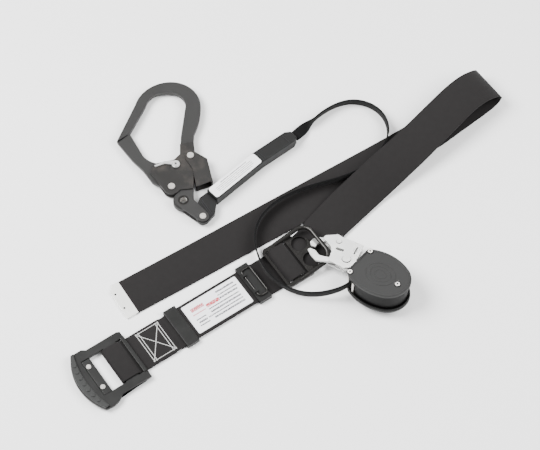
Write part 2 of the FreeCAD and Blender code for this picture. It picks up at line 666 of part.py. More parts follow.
keep(feature("spiral_spring", spiral(size.shaft_radius + 0.8, 2.1, 6.5, 0.9, case_low + 0.8,
                                     case_high - case_low - 1.0)), "spiral_spring", DRUM)

RATCHET_TEETH = 18
ratchet_low = spool_high + size.drum_flange
ratchet_root, ratchet_tip = 15.0, 17.5
pawl_gap = 0.3
teeth = []
for tooth in range(RATCHET_TEETH):
    angle = 2 * math.pi * tooth / RATCHET_TEETH
    teeth.append((ratchet_tip * math.cos(angle), ratchet_tip * math.sin(angle)))
    teeth.append((ratchet_root * math.cos(angle), ratchet_root * math.sin(angle)))
ratchet = plate("ratchet_wheel", teeth, "0.0", "2.2", [(0.0, 0.0, shaft_bore)])
keep(ratchet, "ratchet_wheel", DRUM * Placement(Vector(0, 0, ratchet_low), Rotation()))

PAWL_AT = (23.0, 13.0)
pawl_path = [(PAWL_AT[0] + 3.0, PAWL_AT[1]), (PAWL_AT[0], PAWL_AT[1] + 3.0, PAWL_AT[0] - 3.0, PAWL_AT[1]),
             (PAWL_AT[0] - 6.2, PAWL_AT[1] - 9.5), (PAWL_AT[0] - 4.4, PAWL_AT[1] - 10.5),
             (PAWL_AT[0] + 1.0, PAWL_AT[1] - 3.0)]
keep(plate("reel_pawl", pawl_path, "0.0", "1.8", [(*PAWL_AT, "1.5 + pin_clear")]), "reel_pawl",
     REEL * Placement(Vector(0, 0, ratchet_low + pawl_gap), Rotation()))
keep(rod("reel_pawl_pin", 0, 0, "0.0", inside_high, "1.5"), "reel_pawl_pin",
     REEL * Placement(Vector(*PAWL_AT, amount(inside_low)), Rotation()))

# ---------------------------------------------------------------- lanyard strap
strap_points = [  # x, y, z of the strap's middle, from the reel's mouth to the absorber
    (107.6, -85.0, 21.3), (97.8, -96.2, 23.0), (82.0, -103.0, 19.0), (59.0, -105.5, 12.5),
    (36.0, -101.5, 8.5), (14.0, -91.5, 9.5), (-3.5, -75.0, 12.0), (-14.0, -54.0, 12.0), (-19.0, -32.0, 11.5),
    (-18.0, -10.0, 11.0), (-8.5, 10.5, 11.0), (8.5, 28.5, 11.0), (32.0, 42.5, 10.5), (58.0, 52.5, 10.0),
    (86.0, 60.5, 9.8), (112.0, 72.0, 9.8), (133.0, 91.5, 9.8), (148.5, 115.5, 11.5), (152.0, 138.0, 9.5),
    (145.0, 160.0, 8.0), (128.5, 175.0, 7.6), (106.0, 180.5, 7.6), (84.0, 174.0, 7.6),
    (64.0, 160.0, 7.6), (48.5, 142.2, 8.0),
]
strap_end = LAYOUT.inverse() * (ABSORBER * Vector(165.0, 8.0, 8.0))
route = [Vector(*point) for point in strap_points] + [strap_end]
strap_wire, strap_radii = rounded_route(route)
heading = (route[1] - route[0]).normalize()
side = heading.cross(Vector(0, 0, 1)).normalize()
rise = side.cross(heading).normalize()
corners = [route[0] + side * (size.strap_thick / 2 * a) + rise * (size.strap_width / 2 * b)
           for a, b in ((-1, -1), (1, -1), (1, 1), (-1, 1))]
strap_profile = Part.makePolygon(corners + corners[:1])
sweep = Part.BRepOffsetAPI.MakePipeShell(strap_wire)
sweep.setBiNormalMode(Vector(0, 0, 1))
sweep.add(strap_profile)
sweep.build()
sweep.makeSolid()
strap_shape = sweep.shape()
strap_volume = size.strap_width * size.strap_thick * strap_wire.Length
print(f"strap length {strap_wire.Length:.1f}, volume {strap_shape.Volume:.0f} of {strap_volume:.0f}")
print("strap radii", " ".join(f"{radius:.0f}" for radius in strap_radii))
keep(feature("lanyard_strap", strap_shape), "lanyard_strap", LAYOUT)

# ---------------------------------------------------------------- absorber pack
sleeve_path = [(28.0, 4.5), (108.0, 4.5), (158.0, -0.5), (165.0, 2.5), (165.0, 13.5), (158.0, 18.5),
               (108.0, 23.5), (28.0, 23.5)]
hollow_path = [(29.4, 5.9), (108.0, 5.9), (157.6, 1.0), (163.6, 3.6), (163.6, 12.5), (157.0, 17.2),
               (107.6, 22.1), (29.4, 22.1)]
pack_path = [(30.0, 6.5), (107.8, 6.5), (157.0, 1.7), (163.0, 4.1), (163.0, 12.1), (156.6, 16.6),
             (107.4, 21.5), (30.0, 21.5)]
sleeve_out = plate("sleeve_outside", sleeve_path, "sleeve_base", "sleeve_height")
sleeve_in = plate("sleeve_inside", hollow_path, "sleeve_base + sleeve_wall",
                  "sleeve_height - 2*sleeve_wall")
keep(cut("absorber_sleeve", sleeve_out, [sleeve_in]), "absorber_sleeve", ABSORBER)
keep(plate("tear_webbing", pack_path, "sleeve_base + sleeve_wall + 0.3",
           "sleeve_height - 2*sleeve_wall - 0.6"), "tear_webbing", ABSORBER)
keep(plate("absorber_label", [(29.5, 5.5), (107.0, 5.5), (107.0, 22.5), (29.5, 22.5)],
           "sleeve_base + sleeve_height + 0.02", "label_thick"), "absorber_label", ABSORBER)

# hook stack heights, from the surface upwards
low_flange_at = "hook_head"
low_cheek_at = "hook_head + flange_thick + stack_gap"
hook_at = low_cheek_at + " + cheek_thick + stack_gap"
high_cheek_at = hook_at + " + hook_thick + stack_gap"
high_flange_at = high_cheek_at + " + cheek_thick + stack_gap"
stack_top = high_flange_at + " + flange_thick"

loop_path = [(-8.5, 0.0), (-6.0, -6.0, 0.0, -8.5), (14.0, -6.5), (27.7, 5.0), (27.7, 23.0), (16.0, 23.5),
             (3.0, 16.5), (-6.5, 6.0)]
keep(plate("absorber_loop", loop_path, hook_at, "hook_thick",
           [(0.0, 0.0, "thimble_pin_radius + pin_clear")]), "absorber_loop", ABSORBER)

# link between the hook's eye and the absorber's loop: two side plates and two pins
THIMBLE = HOOK.inverse() * ABSORBER.Base
link_length = math.hypot(THIMBLE.x, THIMBLE.y)
link_turn = math.degrees(math.atan2(THIMBLE.y, THIMBLE.x))
LINK = HOOK * Placement(Vector(0, 0, 0), Rotation(Vector(0, 0, 1), link_turn))
link_end, link_eye = 7.5, size.eye_radius + 3.5
link_path = [(0.0, link_eye), (-link_eye, 0.0, 0.0, -link_eye), (link_length, -link_end),
             (link_length + link_end, 0.0, link_length, link_end)]
link_low = plate("link_low", link_path, low_cheek_at, "cheek_thick",
                 [(0.0, 0.0, "eye_radius - 2.5")])
link_high = plate("link_high", link_path, high_cheek_at, "cheek_thick",
                  [(0.0, 0.0, "eye_radius - 2.5")])
keep(group("link_plates", [link_low, link_high]), "link_plates", LINK)
pin_tube = cut("eye_pin_tube",
               rod("eye_pin_out", 0, 0, hook_at + " - stack_gap", "hook_thick + 2*stack_gap",
                   "eye_radius - pin_clear"),
               [rod("eye_pin_in", 0, 0, hook_at + " - 3.0", "hook_thick + 6.0", "eye_radius - 3.0")])
keep(pin_tube, "eye_pin", HOOK)
keep(rod("thimble_pin", 0, 0, "0.0", "hook_thick + 2*stack_gap", "thimble_pin_radius"), "thimble_pin",
     ABSORBER * Placement(Vector(0, 0, amount(hook_at + " - stack_gap")), Rotation()))
keep(stepped_rivets("thimble_heads", [(link_length, 0.0)],
                    [(high_cheek_at + " + cheek_thick", "hook_head", "4.0")]), "thimble_head", LINK)

# ---------------------------------------------------------------- hook
GATE_AT = (-12.8, 21.5)
PAWL_PIN_AT = (-4.2, 52.8)
NECK_AT = (15.5, 63.2)
eye_out = size.eye_radius + size.eye_wall
slant = eye_out * math.sqrt(0.5)
hook_path = [
    (-57.2, 108.9), (-34.0, 147.0), (-25.5, 159.5, -8.0, 164.3), (11.5, 157.5, 17.5, 142.0), (6.5, 95.0),
    (2.5, 66.0), (1.0, 24.0), (-slant, slant), (-slant, -slant, 0.0, -eye_out),
    (slant, -slant, eye_out, 0.0), (18.0, 44.0), (20.5, 76.0), (23.5, 97.0),
    (31.5, 115.0, 36.0, 134.0), (31.5, 160.5, 4.0, 179.6), (-24.5, 175.0, -47.0, 150.0), (-75.2, 97.9),
]
keep(plate("hook_body", hook_path, hook_at, "hook_thick",
           [(0.0, 0.0, "eye_radius"), (*NECK_AT, "neck_pin_radius")]), "hook_body", HOOK)

cheek_path = [(-37.5, 45.5), (-31.0, 57.5), (-6.0, 60.5), (2.5, 68.0), (4.0, 83.0), (21.5, 85.0),
              (21.8, 62.0), (17.5, 40.0), (14.0, 15.5), (-3.0, 15.5), (-12.8, 10.5, -23.0, 18.5)]
cheek_holes = [(*GATE_AT, "gate_pin_radius"), (*PAWL_PIN_AT, "pawl_pin_radius"),
               (*NECK_AT, "neck_pin_radius")]
keep(plate("top_cheek", cheek_path, high_cheek_at, "cheek_thick", cheek_holes), "top_cheek", HOOK)
keep(plate("bottom_cheek", cheek_path, low_cheek_at, "cheek_thick", cheek_holes), "bottom_cheek", HOOK)

hook_gate_path = [(-57.6, 107.4), (-44.0, 72.6), (-38.0, 65.5, -29.0, 60.0), (-16.0, 40.0), (-5.0, 26.0),
                  (-5.4, 15.6, -12.8, 12.5), (-19.2, 15.1, -21.8, 21.5), (-36.0, 32.0), (-46.0, 51.5),
                  (-58.0, 67.7), (-74.6, 96.6)]
keep(plate("hook_gate", hook_gate_path, hook_at, "hook_thick - spring_wire - stack_gap",
           [(*GATE_AT, "gate_pin_radius + pin_clear")]), "hook_gate", HOOK)
keep(coil("hook_gate_spring", *GATE_AT,
          amount(hook_at + " + hook_thick - spring_wire"), 1, size.gate_pin_radius + 2.0,
          size.spring_wire), "hook_gate_spring", HOOK)
cheek_span = "2*cheek_thick + hook_thick + 2*stack_gap"
keep(stepped_rivets("hook_gate_rivet", [GATE_AT],
                    [(low_cheek_at, cheek_span, "gate_pin_radius"),
                     (low_cheek_at + " - hook_head", "hook_head", "gate_pin_radius + 1.4"),
                     (high_flange_at + " - stack_gap", "hook_head", "gate_pin_radius + 1.4")]),
     "hook_gate_rivet", HOOK)
pawl_low = high_flange_at
pawl_pin_high = cut("pawl_pin", fuse("pawl_pin_whole", [
    rod("pawl_pin_shank", *PAWL_PIN_AT, low_cheek_at, cheek_span + " + stack_gap + 2.2", "pawl_pin_radius"),
    rod("pawl_pin_head", *PAWL_PIN_AT, pawl_low + " + 2.2", "0.8", "pawl_pin_radius + 1.3")]),
    [rod("pawl_pin_bore", *PAWL_PIN_AT, low_cheek_at + " - 1", "20.0", "pawl_pin_radius - 1.1")])
keep(pawl_pin_high, "pawl_rivet", HOOK)
px, py = PAWL_PIN_AT
pawl_out = size.pawl_pin_radius + 2.7
lock_pawl_path = [(px, py + pawl_out), (px - 14.0, py + 5.6), (px - 27.0, py + 1.2),
                  (px - 26.0, py - 1.0), (px - 14.0, py + 2.0), (px - pawl_out, py),
                  (px, py - pawl_out, px + pawl_out, py),
                  (px + pawl_out * math.sqrt(0.5), py + pawl_out * math.sqrt(0.5), px, py + pawl_out)]
keep(plate("lock_pawl", lock_pawl_path, pawl_low, "2.0", [(*PAWL_PIN_AT, "pawl_pin_radius + pin_clear")]),
     "lock_pawl", HOOK)

flange_path = [(9.0, 66.0), (14.0, 70.5, 20.0, 69.5), (36.0, 56.0), (39.5, 23.0), (18.0, 17.0),
               (16.0, 45.0), (9.5, 58.0)]
flange_hole = [(*NECK_AT, "neck_pin_radius + pin_clear")]
lever_low = plate("lever_low", flange_path, low_flange_at, "flange_thick", flange_hole)
lever_high = plate("lever_high", flange_path, high_flange_at, "flange_thick", flange_hole)
lever_web = plate("lever_web", [(34.4, 57.3), (36.0, 56.0), (39.5, 23.0), (37.8, 22.6)], low_flange_at,
                  "2*flange_thick + 2*cheek_thick + hook_thick + 4*stack_gap")
keep(fuse("safety_lever", [lever_low, lever_high, lever_web]), "safety_lever", HOOK)
keep(stepped_rivets("neck_rivet", [NECK_AT],
                    [(low_flange_at, stack_top + " - hook_head", "neck_pin_radius"),
                     ("0.1", "hook_head - 0.1", "neck_pin_radius + 1.2"),
                     (stack_top, "hook_head", "neck_pin_radius + 1.2")]), "neck_rivet", HOOK)

# ---------------------------------------------------------------- check and write
doc.recompute()
for item in doc.Objects:
    if "Invalid" in item.State or "Error" in item.State:
        raise RuntimeError(f"{item.Label} failed: {item.State}")
for piece in parts:
    shape = piece.Shape
    if shape.isNull() or not shape.isValid() or shape.Volume <= 0:
        raise RuntimeError(f"{piece.Label} has no valid solid")
    shape.exportStep(f"parts/{piece.Label}.step")
print(len(parts), "sub-parts")
whole = Part.makeCompound([piece.Shape for piece in parts if piece.Label != "lanyard_strap"]).BoundBox
print("box", [round(value, 2) for value in (whole.XMin, whole.XMax, whole.YMin, whole.YMax, whole.ZMin,
                                            whole.ZMax)])
print("middle", round((whole.XMin + whole.XMax) / 2, 3), round((whole.YMin + whole.YMax) / 2, 3))
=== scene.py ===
import json
import math

import bmesh
import bpy
from mathutils import Matrix, Vector

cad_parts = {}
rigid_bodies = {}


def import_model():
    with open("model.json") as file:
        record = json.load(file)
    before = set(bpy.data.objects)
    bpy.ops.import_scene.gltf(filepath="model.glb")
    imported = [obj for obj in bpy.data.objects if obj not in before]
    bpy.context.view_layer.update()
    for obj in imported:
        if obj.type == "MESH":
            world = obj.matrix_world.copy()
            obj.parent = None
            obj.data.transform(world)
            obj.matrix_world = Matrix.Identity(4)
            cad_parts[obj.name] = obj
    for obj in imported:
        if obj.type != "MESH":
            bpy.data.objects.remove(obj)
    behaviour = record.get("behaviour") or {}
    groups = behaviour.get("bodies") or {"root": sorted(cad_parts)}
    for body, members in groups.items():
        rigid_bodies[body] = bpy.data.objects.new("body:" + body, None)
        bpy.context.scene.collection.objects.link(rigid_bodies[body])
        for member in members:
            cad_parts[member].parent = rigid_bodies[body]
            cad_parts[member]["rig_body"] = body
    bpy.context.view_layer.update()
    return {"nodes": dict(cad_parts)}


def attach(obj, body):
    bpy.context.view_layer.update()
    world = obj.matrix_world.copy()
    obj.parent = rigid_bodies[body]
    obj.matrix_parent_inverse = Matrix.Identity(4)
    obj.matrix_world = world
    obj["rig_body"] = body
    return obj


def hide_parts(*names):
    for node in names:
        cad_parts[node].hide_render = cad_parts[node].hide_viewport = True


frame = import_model()
nodes = frame["nodes"]

# ---------------------------------------------------------------- places
MM = 0.001


def placed(x, y, z=0.0, turn=0.0, parent=Matrix.Identity(4)):
    """A frame at (x, y, z) millimetres in its parent, turned about Z by degrees."""
    return parent @ Matrix.Translation((x, y, z)) @ Matrix.Rotation(math.radians(turn), 4, "Z")


LAYOUT = placed(-29.5, 17.8)
FRONT_X, FRONT_Y, FRONT_TURN = 20.0, -56.9, 34.5
FRONT = placed(FRONT_X, FRONT_Y, 0.0, FRONT_TURN, LAYOUT)       # +X along the belt towards the D-plate
LEANING = LAYOUT @ Matrix.Translation((61.0, -39.5, 12.4)) @ Matrix.Rotation(math.radians(-10.0), 4, "X")
CONNECTOR = placed(32.8, -22.0, 0.0, -24.7, LEANING)
REEL = placed(71.5, -53.5, 0.0, -38.7, LEANING)
HOOK = placed(-108.4, 29.0, 0.0, 7.07, LAYOUT)
ABSORBER = placed(-83.6, 5.4, 0.0, 43.6, LAYOUT)
TIP = placed(-176.0, -104.6, 0.0, 32.2, LAYOUT)


def spot(place, x, y, z=0.0):
    """Point of a frame, given in millimetres, in the row frame in metres."""
    return (place @ Vector((x, y, z))) * MM


# ---------------------------------------------------------------- camera
target = spot(LAYOUT, 0, 0, 0)
camera = bpy.data.objects.new("camera", bpy.data.cameras.new("camera"))
bpy.context.scene.collection.objects.link(camera)
CAMERA_ELEVATION, CAMERA_DISTANCE = 60.0, 2.6           # degrees, metres
elevation = math.radians(CAMERA_ELEVATION)
camera.location = target + Vector((0, -math.cos(elevation), math.sin(elevation))) * CAMERA_DISTANCE
camera.rotation_euler = (math.radians(90.0) - elevation, 0, 0)
camera.data.lens = 138.67
camera.data.sensor_width = 36.0
bpy.context.scene.camera = camera


# ---------------------------------------------------------------- materials
def node_in(tree, kind, **values):
    """A shader node with its sockets, or its properties, set by name."""
    made = tree.nodes.new(kind)
    for name, value in values.items():
        if name in made.inputs:
            made.inputs[name].default_value = value
        else:
            setattr(made, name, value)
    return made


def new_material(name, roughness, metallic=0.0):
    """A material with its node tree and its main shader."""
    made = bpy.data.materials.new(name)
    made.use_nodes = True
    shader = made.node_tree.nodes["Principled BSDF"]
    shader.inputs["Roughness"].default_value = roughness
    shader.inputs["Metallic"].default_value = metallic
    shader.inputs["Specular IOR Level"].default_value = 0.35
    return made, made.node_tree, shader


def mixed(tree, factor, low, high):
    """Colour between two colours (or sockets) by a factor socket."""
    mix = tree.nodes.new("ShaderNodeMix")
    mix.data_type = "RGBA"
    tree.links.new(factor, mix.inputs["Factor"])
    for socket, colour in ((mix.inputs["A"], low), (mix.inputs["B"], high)):
        if hasattr(colour, "links"):
            tree.links.new(colour, socket)
        else:
            socket.default_value = (*colour, 1.0)
    return mix.outputs["Result"]


def surface(name, colour, roughness, metallic=0.0, mottle=0.12, scale=60.0, grain=900.0, relief=0.00004,
            wear=None, scratches=0.0):
    """Painted, plated or moulded finish: slow mottling, fine grain, optional worn tone and scratches."""
    made, tree, shader = new_material(name, roughness, metallic)
    where = tree.nodes.new("ShaderNodeTexCoord").outputs["Object"]
    slow = node_in(tree, "ShaderNodeTexNoise", Scale=scale, Detail=4.0, Roughness=0.55)
    fine = node_in(tree, "ShaderNodeTexNoise", Scale=grain, Detail=2.0, Roughness=0.5)
    tree.links.new(where, slow.inputs["Vector"])
    tree.links.new(where, fine.inputs["Vector"])
    dark = [channel * (1 - mottle) for channel in colour]
    light = [min(1.0, channel * (1 + mottle)) for channel in colour]
    tone = mixed(tree, slow.outputs["Fac"], dark, light)
    if wear:
        patches = node_in(tree, "ShaderNodeTexNoise", Scale=scale * 0.35, Detail=6.0, Roughness=0.7)
        tree.links.new(where, patches.inputs["Vector"])
        edge = node_in(tree, "ShaderNodeMapRange")
        edge.inputs["From Min"].default_value = 0.55
        edge.inputs["From Max"].default_value = 0.75
        edge.inputs["To Max"].default_value = 0.6
        tree.links.new(patches.outputs["Fac"], edge.inputs["Value"])
        tone = mixed(tree, edge.outputs["Result"], tone, wear)
    tree.links.new(tone, shader.inputs["Base Color"])
    rough = node_in(tree, "ShaderNodeMapRange")
    rough.inputs["To Min"].default_value = max(0.05, roughness - 0.1)
    rough.inputs["To Max"].default_value = min(1.0, roughness + 0.1)
    tree.links.new(slow.outputs["Fac"], rough.inputs["Value"])
    tree.links.new(rough.outputs["Result"], shader.inputs["Roughness"])
    height = fine.outputs["Fac"]
    if scratches:
        stretch = node_in(tree, "ShaderNodeMapping")
        stretch.inputs["Scale"].default_value = (40.0, 900.0, 900.0)
        stretch.inputs["Rotation"].default_value = (0.0, 0.0, scratches)
        lines = node_in(tree, "ShaderNodeTexNoise", Scale=1.0, Detail=3.0)
        tree.links.new(where, stretch.inputs["Vector"])
        tree.links.new(stretch.outputs["Vector"], lines.inputs["Vector"])
        height = lines.outputs["Fac"]
    bump = node_in(tree, "ShaderNodeBump", Strength=0.5, Distance=relief)
    tree.links.new(height, bump.inputs["Height"])
    tree.links.new(bump.outputs["Normal"], shader.inputs["Normal"])
    return made


def woven(name, colour, light, pitch, ribs, relief):
    """Twill webbing on a UV map in metres: u across the width, v along the length."""
    made, tree, shader = new_material(name, 0.85)
    shader.inputs["Specular IOR Level"].default_value = 0.16
    shader.inputs["Sheen Weight"].default_value = 0.04
    uv = tree.nodes.new("ShaderNodeUVMap")
    uv.uv_map = "weave"
    waves = []
    for lean in (1.0, -1.0):
        turn = node_in(tree, "ShaderNodeMapping")
        turn.inputs["Rotation"].default_value = (0.0, 0.0, lean * math.radians(28.0))
        wave = node_in(tree, "ShaderNodeTexWave", Scale=0.314 / pitch, Distortion=0.6, Detail=1.0)
        wave.bands_direction = "Y"
        wave.inputs["Detail Scale"].default_value = 3.0
        tree.links.new(uv.outputs["UV"], turn.inputs["Vector"])
        tree.links.new(turn.outputs["Vector"], wave.inputs["Vector"])
        waves.append(wave.outputs["Fac"])
    join = node_in(tree, "ShaderNodeMath", operation="MULTIPLY")
    tree.links.new(waves[0], join.inputs[0])
    tree.links.new(waves[1], join.inputs[1])
    dust = node_in(tree, "ShaderNodeTexNoise", Scale=140.0, Detail=5.0, Roughness=0.6)
    tree.links.new(uv.outputs["UV"], dust.inputs["Vector"])
    tone = mixed(tree, join.outputs["Value"], colour, light)
    faded = node_in(tree, "ShaderNodeMapRange")
    faded.inputs["To Max"].default_value = 0.35
    tree.links.new(dust.outputs["Fac"], faded.inputs["Value"])
    tone = mixed(tree, faded.outputs["Result"], tone, [channel * 1.6 for channel in light])
    tree.links.new(tone, shader.inputs["Base Color"])
    height = join.outputs["Value"]
    if ribs:
        rib = node_in(tree, "ShaderNodeTexWave", Scale=0.314 / ribs)
        rib.bands_direction = "X"
        tree.links.new(uv.outputs["UV"], rib.inputs["Vector"])
        total = node_in(tree, "ShaderNodeMath", operation="ADD")
        tree.links.new(height, total.inputs[0])
        tree.links.new(rib.outputs["Fac"], total.inputs[1])
        height = total.outputs["Value"]
    bump = node_in(tree, "ShaderNodeBump", Strength=0.8, Distance=relief)
    tree.links.new(height, bump.inputs["Height"])
    tree.links.new(bump.outputs["Normal"], shader.inputs["Normal"])
    return made


STEEL = surface("plated steel", (0.56, 0.56, 0.55), 0.34, 0.7, 0.10, 45.0, relief=0.00004, scratches=0.5)
WIRE = surface("bright wire", (0.55, 0.55, 0.56), 0.28, 1.0, 0.06, 90.0)
RIVET = surface("rivet steel", (0.60, 0.58, 0.55), 0.32, 0.9, 0.1, 120.0)
HOOK_FINISH = surface("dark hook finish", (0.020, 0.0196, 0.0192), 0.5, 0.3, 0.14, 50.0, 1400.0, 0.00005,
                      wear=(0.032, 0.031, 0.030))
NECK_FINISH = surface("heat-tinted hook finish", (0.014, 0.0132, 0.0126), 0.45, 0.35, 0.2, 45.0, 1400.0,
                      0.00005, wear=(0.066, 0.056, 0.048))
# Blackened steel for the buckle, slide bar and keepers; also used as painted shadow rings around the
# connector rivets.
BLACKENED_STEEL_AND_PAINTED_SHADE = surface("blackened steel", (0.0085, 0.0086, 0.0082), 0.4, 0.35, 0.15, 70.0, 1200.0, 0.00004)
RING_BLACK = surface("satin black ring steel", (0.020, 0.019, 0.018), 0.24, 0.6, 0.12, 60.0, 1500.0, 0.00002)
GRIP = surface("moulded grip", (0.009, 0.0095, 0.009), 0.45, 0.0, 0.1, 80.0, 2200.0, 0.00006)
REEL_SHELL = surface("moulded reel shell", (0.0155, 0.0155, 0.0152), 0.6, 0.0, 0.1, 40.0, 2500.0, 0.00007)
# Very dark moulding colour for the side band, drum and spring case; also used as painted shade on the cover
# skirts, the tip dimples and around the reel rivets.
DARK_MOULDING_AND_PAINTED_SHADE = surface("dark moulding", (0.0022, 0.0022, 0.0022), 0.42, 0.0, 0.1, 60.0, 2000.0, 0.00006)
TIP_FINISH = surface("pale plated tip", (0.80, 0.80, 0.77), 0.35, 0.35, 0.05, 60.0, 1500.0, 0.00003)
LABEL_EDGE = surface("label stock", (0.80, 0.80, 0.81), 0.6, 0.0, 0.03, 60.0, 1500.0, 0.00003)
THREAD_LIGHT = surface("pale thread", (0.50, 0.50, 0.49), 0.8, 0.0, 0.12, 600.0, 3000.0, 0.00008)
THREAD_DARK = surface("black thread", (0.03, 0.03, 0.032), 0.75, 0.0, 0.12, 600.0, 3000.0, 0.00008)
FRAY = surface("charcoal fabric core", (0.012, 0.012, 0.013), 0.9, 0.0, 0.15, 300.0, 3000.0, 0.0001)
WEBBING = woven("charcoal twill webbing", (0.0062, 0.0056, 0.0056), (0.011, 0.0100, 0.0100), 0.0011, 0.0,
                0.00012)
STRAP = woven("black woven strap", (0.0022, 0.0022, 0.0023), (0.005, 0.005, 0.0052), 0.0008, 0.0026, 0.0002)
SLEEVE = surface("black sleeve wrap", (0.0062, 0.0062, 0.0062), 0.5, 0.0, 0.3, 90.0, 700.0, 0.0003)
for duller, level in ((STRAP, 0.08), (DARK_MOULDING_AND_PAINTED_SHADE, 0.1), (SLEEVE, 0.2), (THREAD_DARK, 0.1)):
    duller.node_tree.nodes["Principled BSDF"].inputs["Specular IOR Level"].default_value = level


# ---------------------------------------------------------------- making pieces
def piece(name, mesh, body, material, replaces=(), smooth=True):
    """A visible piece that rides a body and may stand for CAD nodes."""
    made = bpy.data.objects.new(name, mesh)
    bpy.context.scene.collection.objects.link(made)
    mesh.materials.clear()
    mesh.materials.append(material)
    for face in mesh.polygons:
        face.use_smooth = smooth
    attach(made, body)
    if replaces:
        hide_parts(*replaces)
    return made


def face_outwards(mesh):
    """Turn a closed mesh's faces so that they all point outwards."""
    shape = bmesh.new()
    shape.from_mesh(mesh)
    bmesh.ops.recalc_face_normals(shape, faces=shape.faces)
    shape.to_mesh(mesh)
    shape.free()


def body_of_node(name):
    """The body that a CAD node belongs to."""
    return nodes[name]["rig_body"]


def eased(node, name, material, ease):
    """A CAD node's shape with its edges eased by a width in millimetres."""
    shape = bmesh.new()
    shape.from_mesh(nodes[node].data)
    bmesh.ops.remove_doubles(shape, verts=shape.verts, dist=0.00001)
    bmesh.ops.dissolve_limit(shape, angle_limit=math.radians(1.5), verts=shape.verts, edges=shape.edges)
    bmesh.ops.recalc_face_normals(shape, faces=shape.faces)
    mesh = bpy.data.meshes.new(name)
    shape.to_mesh(mesh)
    shape.free()
    made = piece(name, mesh, body_of_node(node), material, (node,))
    bevel = made.modifiers.new("eased edges", "BEVEL")
    bevel.width = ease * MM
    bevel.segments = 2
    bevel.limit_method = "ANGLE"
    bevel.angle_limit = math.radians(35.0)
    flat = made.modifiers.new("flat faces", "WEIGHTED_NORMAL")
    flat.keep_sharp = True
    flat.weight = 80


CORNER_SHARE = 0.3


def ring_profile(width, thick):
    """Rounded flat section as (across, up) pairs, going round once."""
    a, b = width / 2, thick / 2
    c = min(a, b) * CORNER_SHARE * 2
    k = c * 0.3
    return [(-a, -b + c), (-a + k, -b + k), (-a + c, -b), (a - c, -b), (a - k, -b + k), (a, -b + c),
            (a, b - c), (a - k, b - k), (a - c, b), (-a + c, b), (-a + k, b - k), (-a, b - c)]


def ribbon(name, stations, width, thick):
    """Closed strip through stations (centre, across), with UVs in metres."""
    ring = ring_profile(width, thick)
    count = len(ring)
    turns = [0.0]
    for here, there in zip(ring, ring[1:] + ring[:1]):
        turns.append(turns[-1] + math.hypot(there[0] - here[0], there[1] - here[1]))
    verts, faces, runs = [], [], [0.0]
    for index, (centre, across) in enumerate(stations):
        before = stations[max(index - 1, 0)][0]
        after = stations[min(index + 1, len(stations) - 1)][0]
        along = (after - before).normalized()
        up = along.cross(across).normalized()
        side = up.cross(along).normalized()
        verts += [centre + side * a + up * b for a, b in ring]
        if index:
            runs.append(runs[-1] + (centre - stations[index - 1][0]).length)
    for row in range(len(stations) - 1):
        for k in range(count):
            n = (k + 1) % count
            faces.append((row * count + k, row * count + n, (row + 1) * count + n, (row + 1) * count + k))
    faces.append(tuple(range(count))[::-1])
    last = (len(stations) - 1) * count
    faces.append(tuple(range(last, last + count)))
    mesh = bpy.data.meshes.new(name)
    mesh.from_pydata([tuple(v) for v in verts], [], faces)
    uv = mesh.uv_layers.new(name="weave")
    for face in mesh.polygons:
        for corner in face.loop_indices:
            vertex = mesh.loops[corner].vertex_index
            row, k = divmod(vertex, count)
            around = turns[k]
            if len(face.vertices) == 4 and k == 0 and face.vertices[0] % count == count - 1:
                around = turns[count]
            uv.data[corner].uv = (around, runs[row])
    face_outwards(mesh)
    return mesh


def smooth_line(points, step):
    """Catmull-Rom line through points, read at about equal steps; points may carry any number of values."""
    out = []
    for index in range(len(points) - 1):
        p0 = points[max(index - 1, 0)]
        p1, p2 = points[index], points[index + 1]
        p3 = points[min(index + 2, len(points) - 1)]
        reach = math.dist(p1[:3], p2[:3])
        pieces = max(1, round(reach / step))
        for k in range(pieces):
            t = k / pieces
            out.append([0.5 * (2 * b + (c - a) * t + (2 * a - 5 * b + 4 * c - d) * t * t
                               + (3 * b - a - 3 * c + d) * t ** 3) for a, b, c, d in zip(p0, p1, p2, p3)])
    out.append(list(points[-1]))
    return out


# ---------------------------------------------------------------- lanyard strap
STRAP_POINTS = [  # metres in the layout, from the reel's mouth round to the absorber
    (0.1076, -0.0850, 0.0213), (0.0978, -0.0962, 0.0230), (0.0820, -0.1030, 0.0190),
    (0.0590, -0.1055, 0.0125), (0.0360, -0.1015, 0.0085), (0.0140, -0.0915, 0.0095),
    (-0.0035, -0.0750, 0.0120), (-0.0140, -0.0540, 0.0120), (-0.0190, -0.0320, 0.0115),
    (-0.0180, -0.0100, 0.0110), (-0.0085, 0.0105, 0.0110), (0.0085, 0.0285, 0.0110),
    (0.0320, 0.0425, 0.0105), (0.0580, 0.0525, 0.0100), (0.0860, 0.0605, 0.0098),
    (0.1120, 0.0720, 0.0098), (0.1330, 0.0915, 0.0098), (0.1485, 0.1155, 0.0115),
    (0.1520, 0.1380, 0.0095), (0.1450, 0.1600, 0.0080), (0.1285, 0.1750, 0.0076),
    (0.1060, 0.1805, 0.0076), (0.0840, 0.1740, 0.0076), (0.0640, 0.1600, 0.0076),
    (0.0485, 0.1422, 0.0080),
]
route = [Vector(point) + LAYOUT.translation * MM for point in STRAP_POINTS]
route.append(spot(ABSORBER, 165.0, 8.0, 8.0))
curve_data = bpy.data.curves.new("strap_route", "CURVE")
curve_data.dimensions = "3D"
curve_data.resolution_u = 8
spline = curve_data.splines.new("NURBS")
spline.points.add(len(route) - 1)
for point, at in zip(spline.points, route):
    point.co = (*at, 1.0)
spline.order_u = 3
spline.use_endpoint_u = True
curve = bpy.data.objects.new("strap_route", curve_data)
bpy.context.scene.collection.objects.link(curve)
bpy.context.view_layer.update()
line_mesh = bpy.data.meshes.new_from_object(curve.evaluated_get(bpy.context.evaluated_depsgraph_get()))
route_line = [vertex.co.copy() for vertex in line_mesh.vertices]
bpy.data.objects.remove(curve)
bpy.data.meshes.remove(line_mesh)
strap_length = sum((b - a).length for a, b in zip(route_line, route_line[1:]))

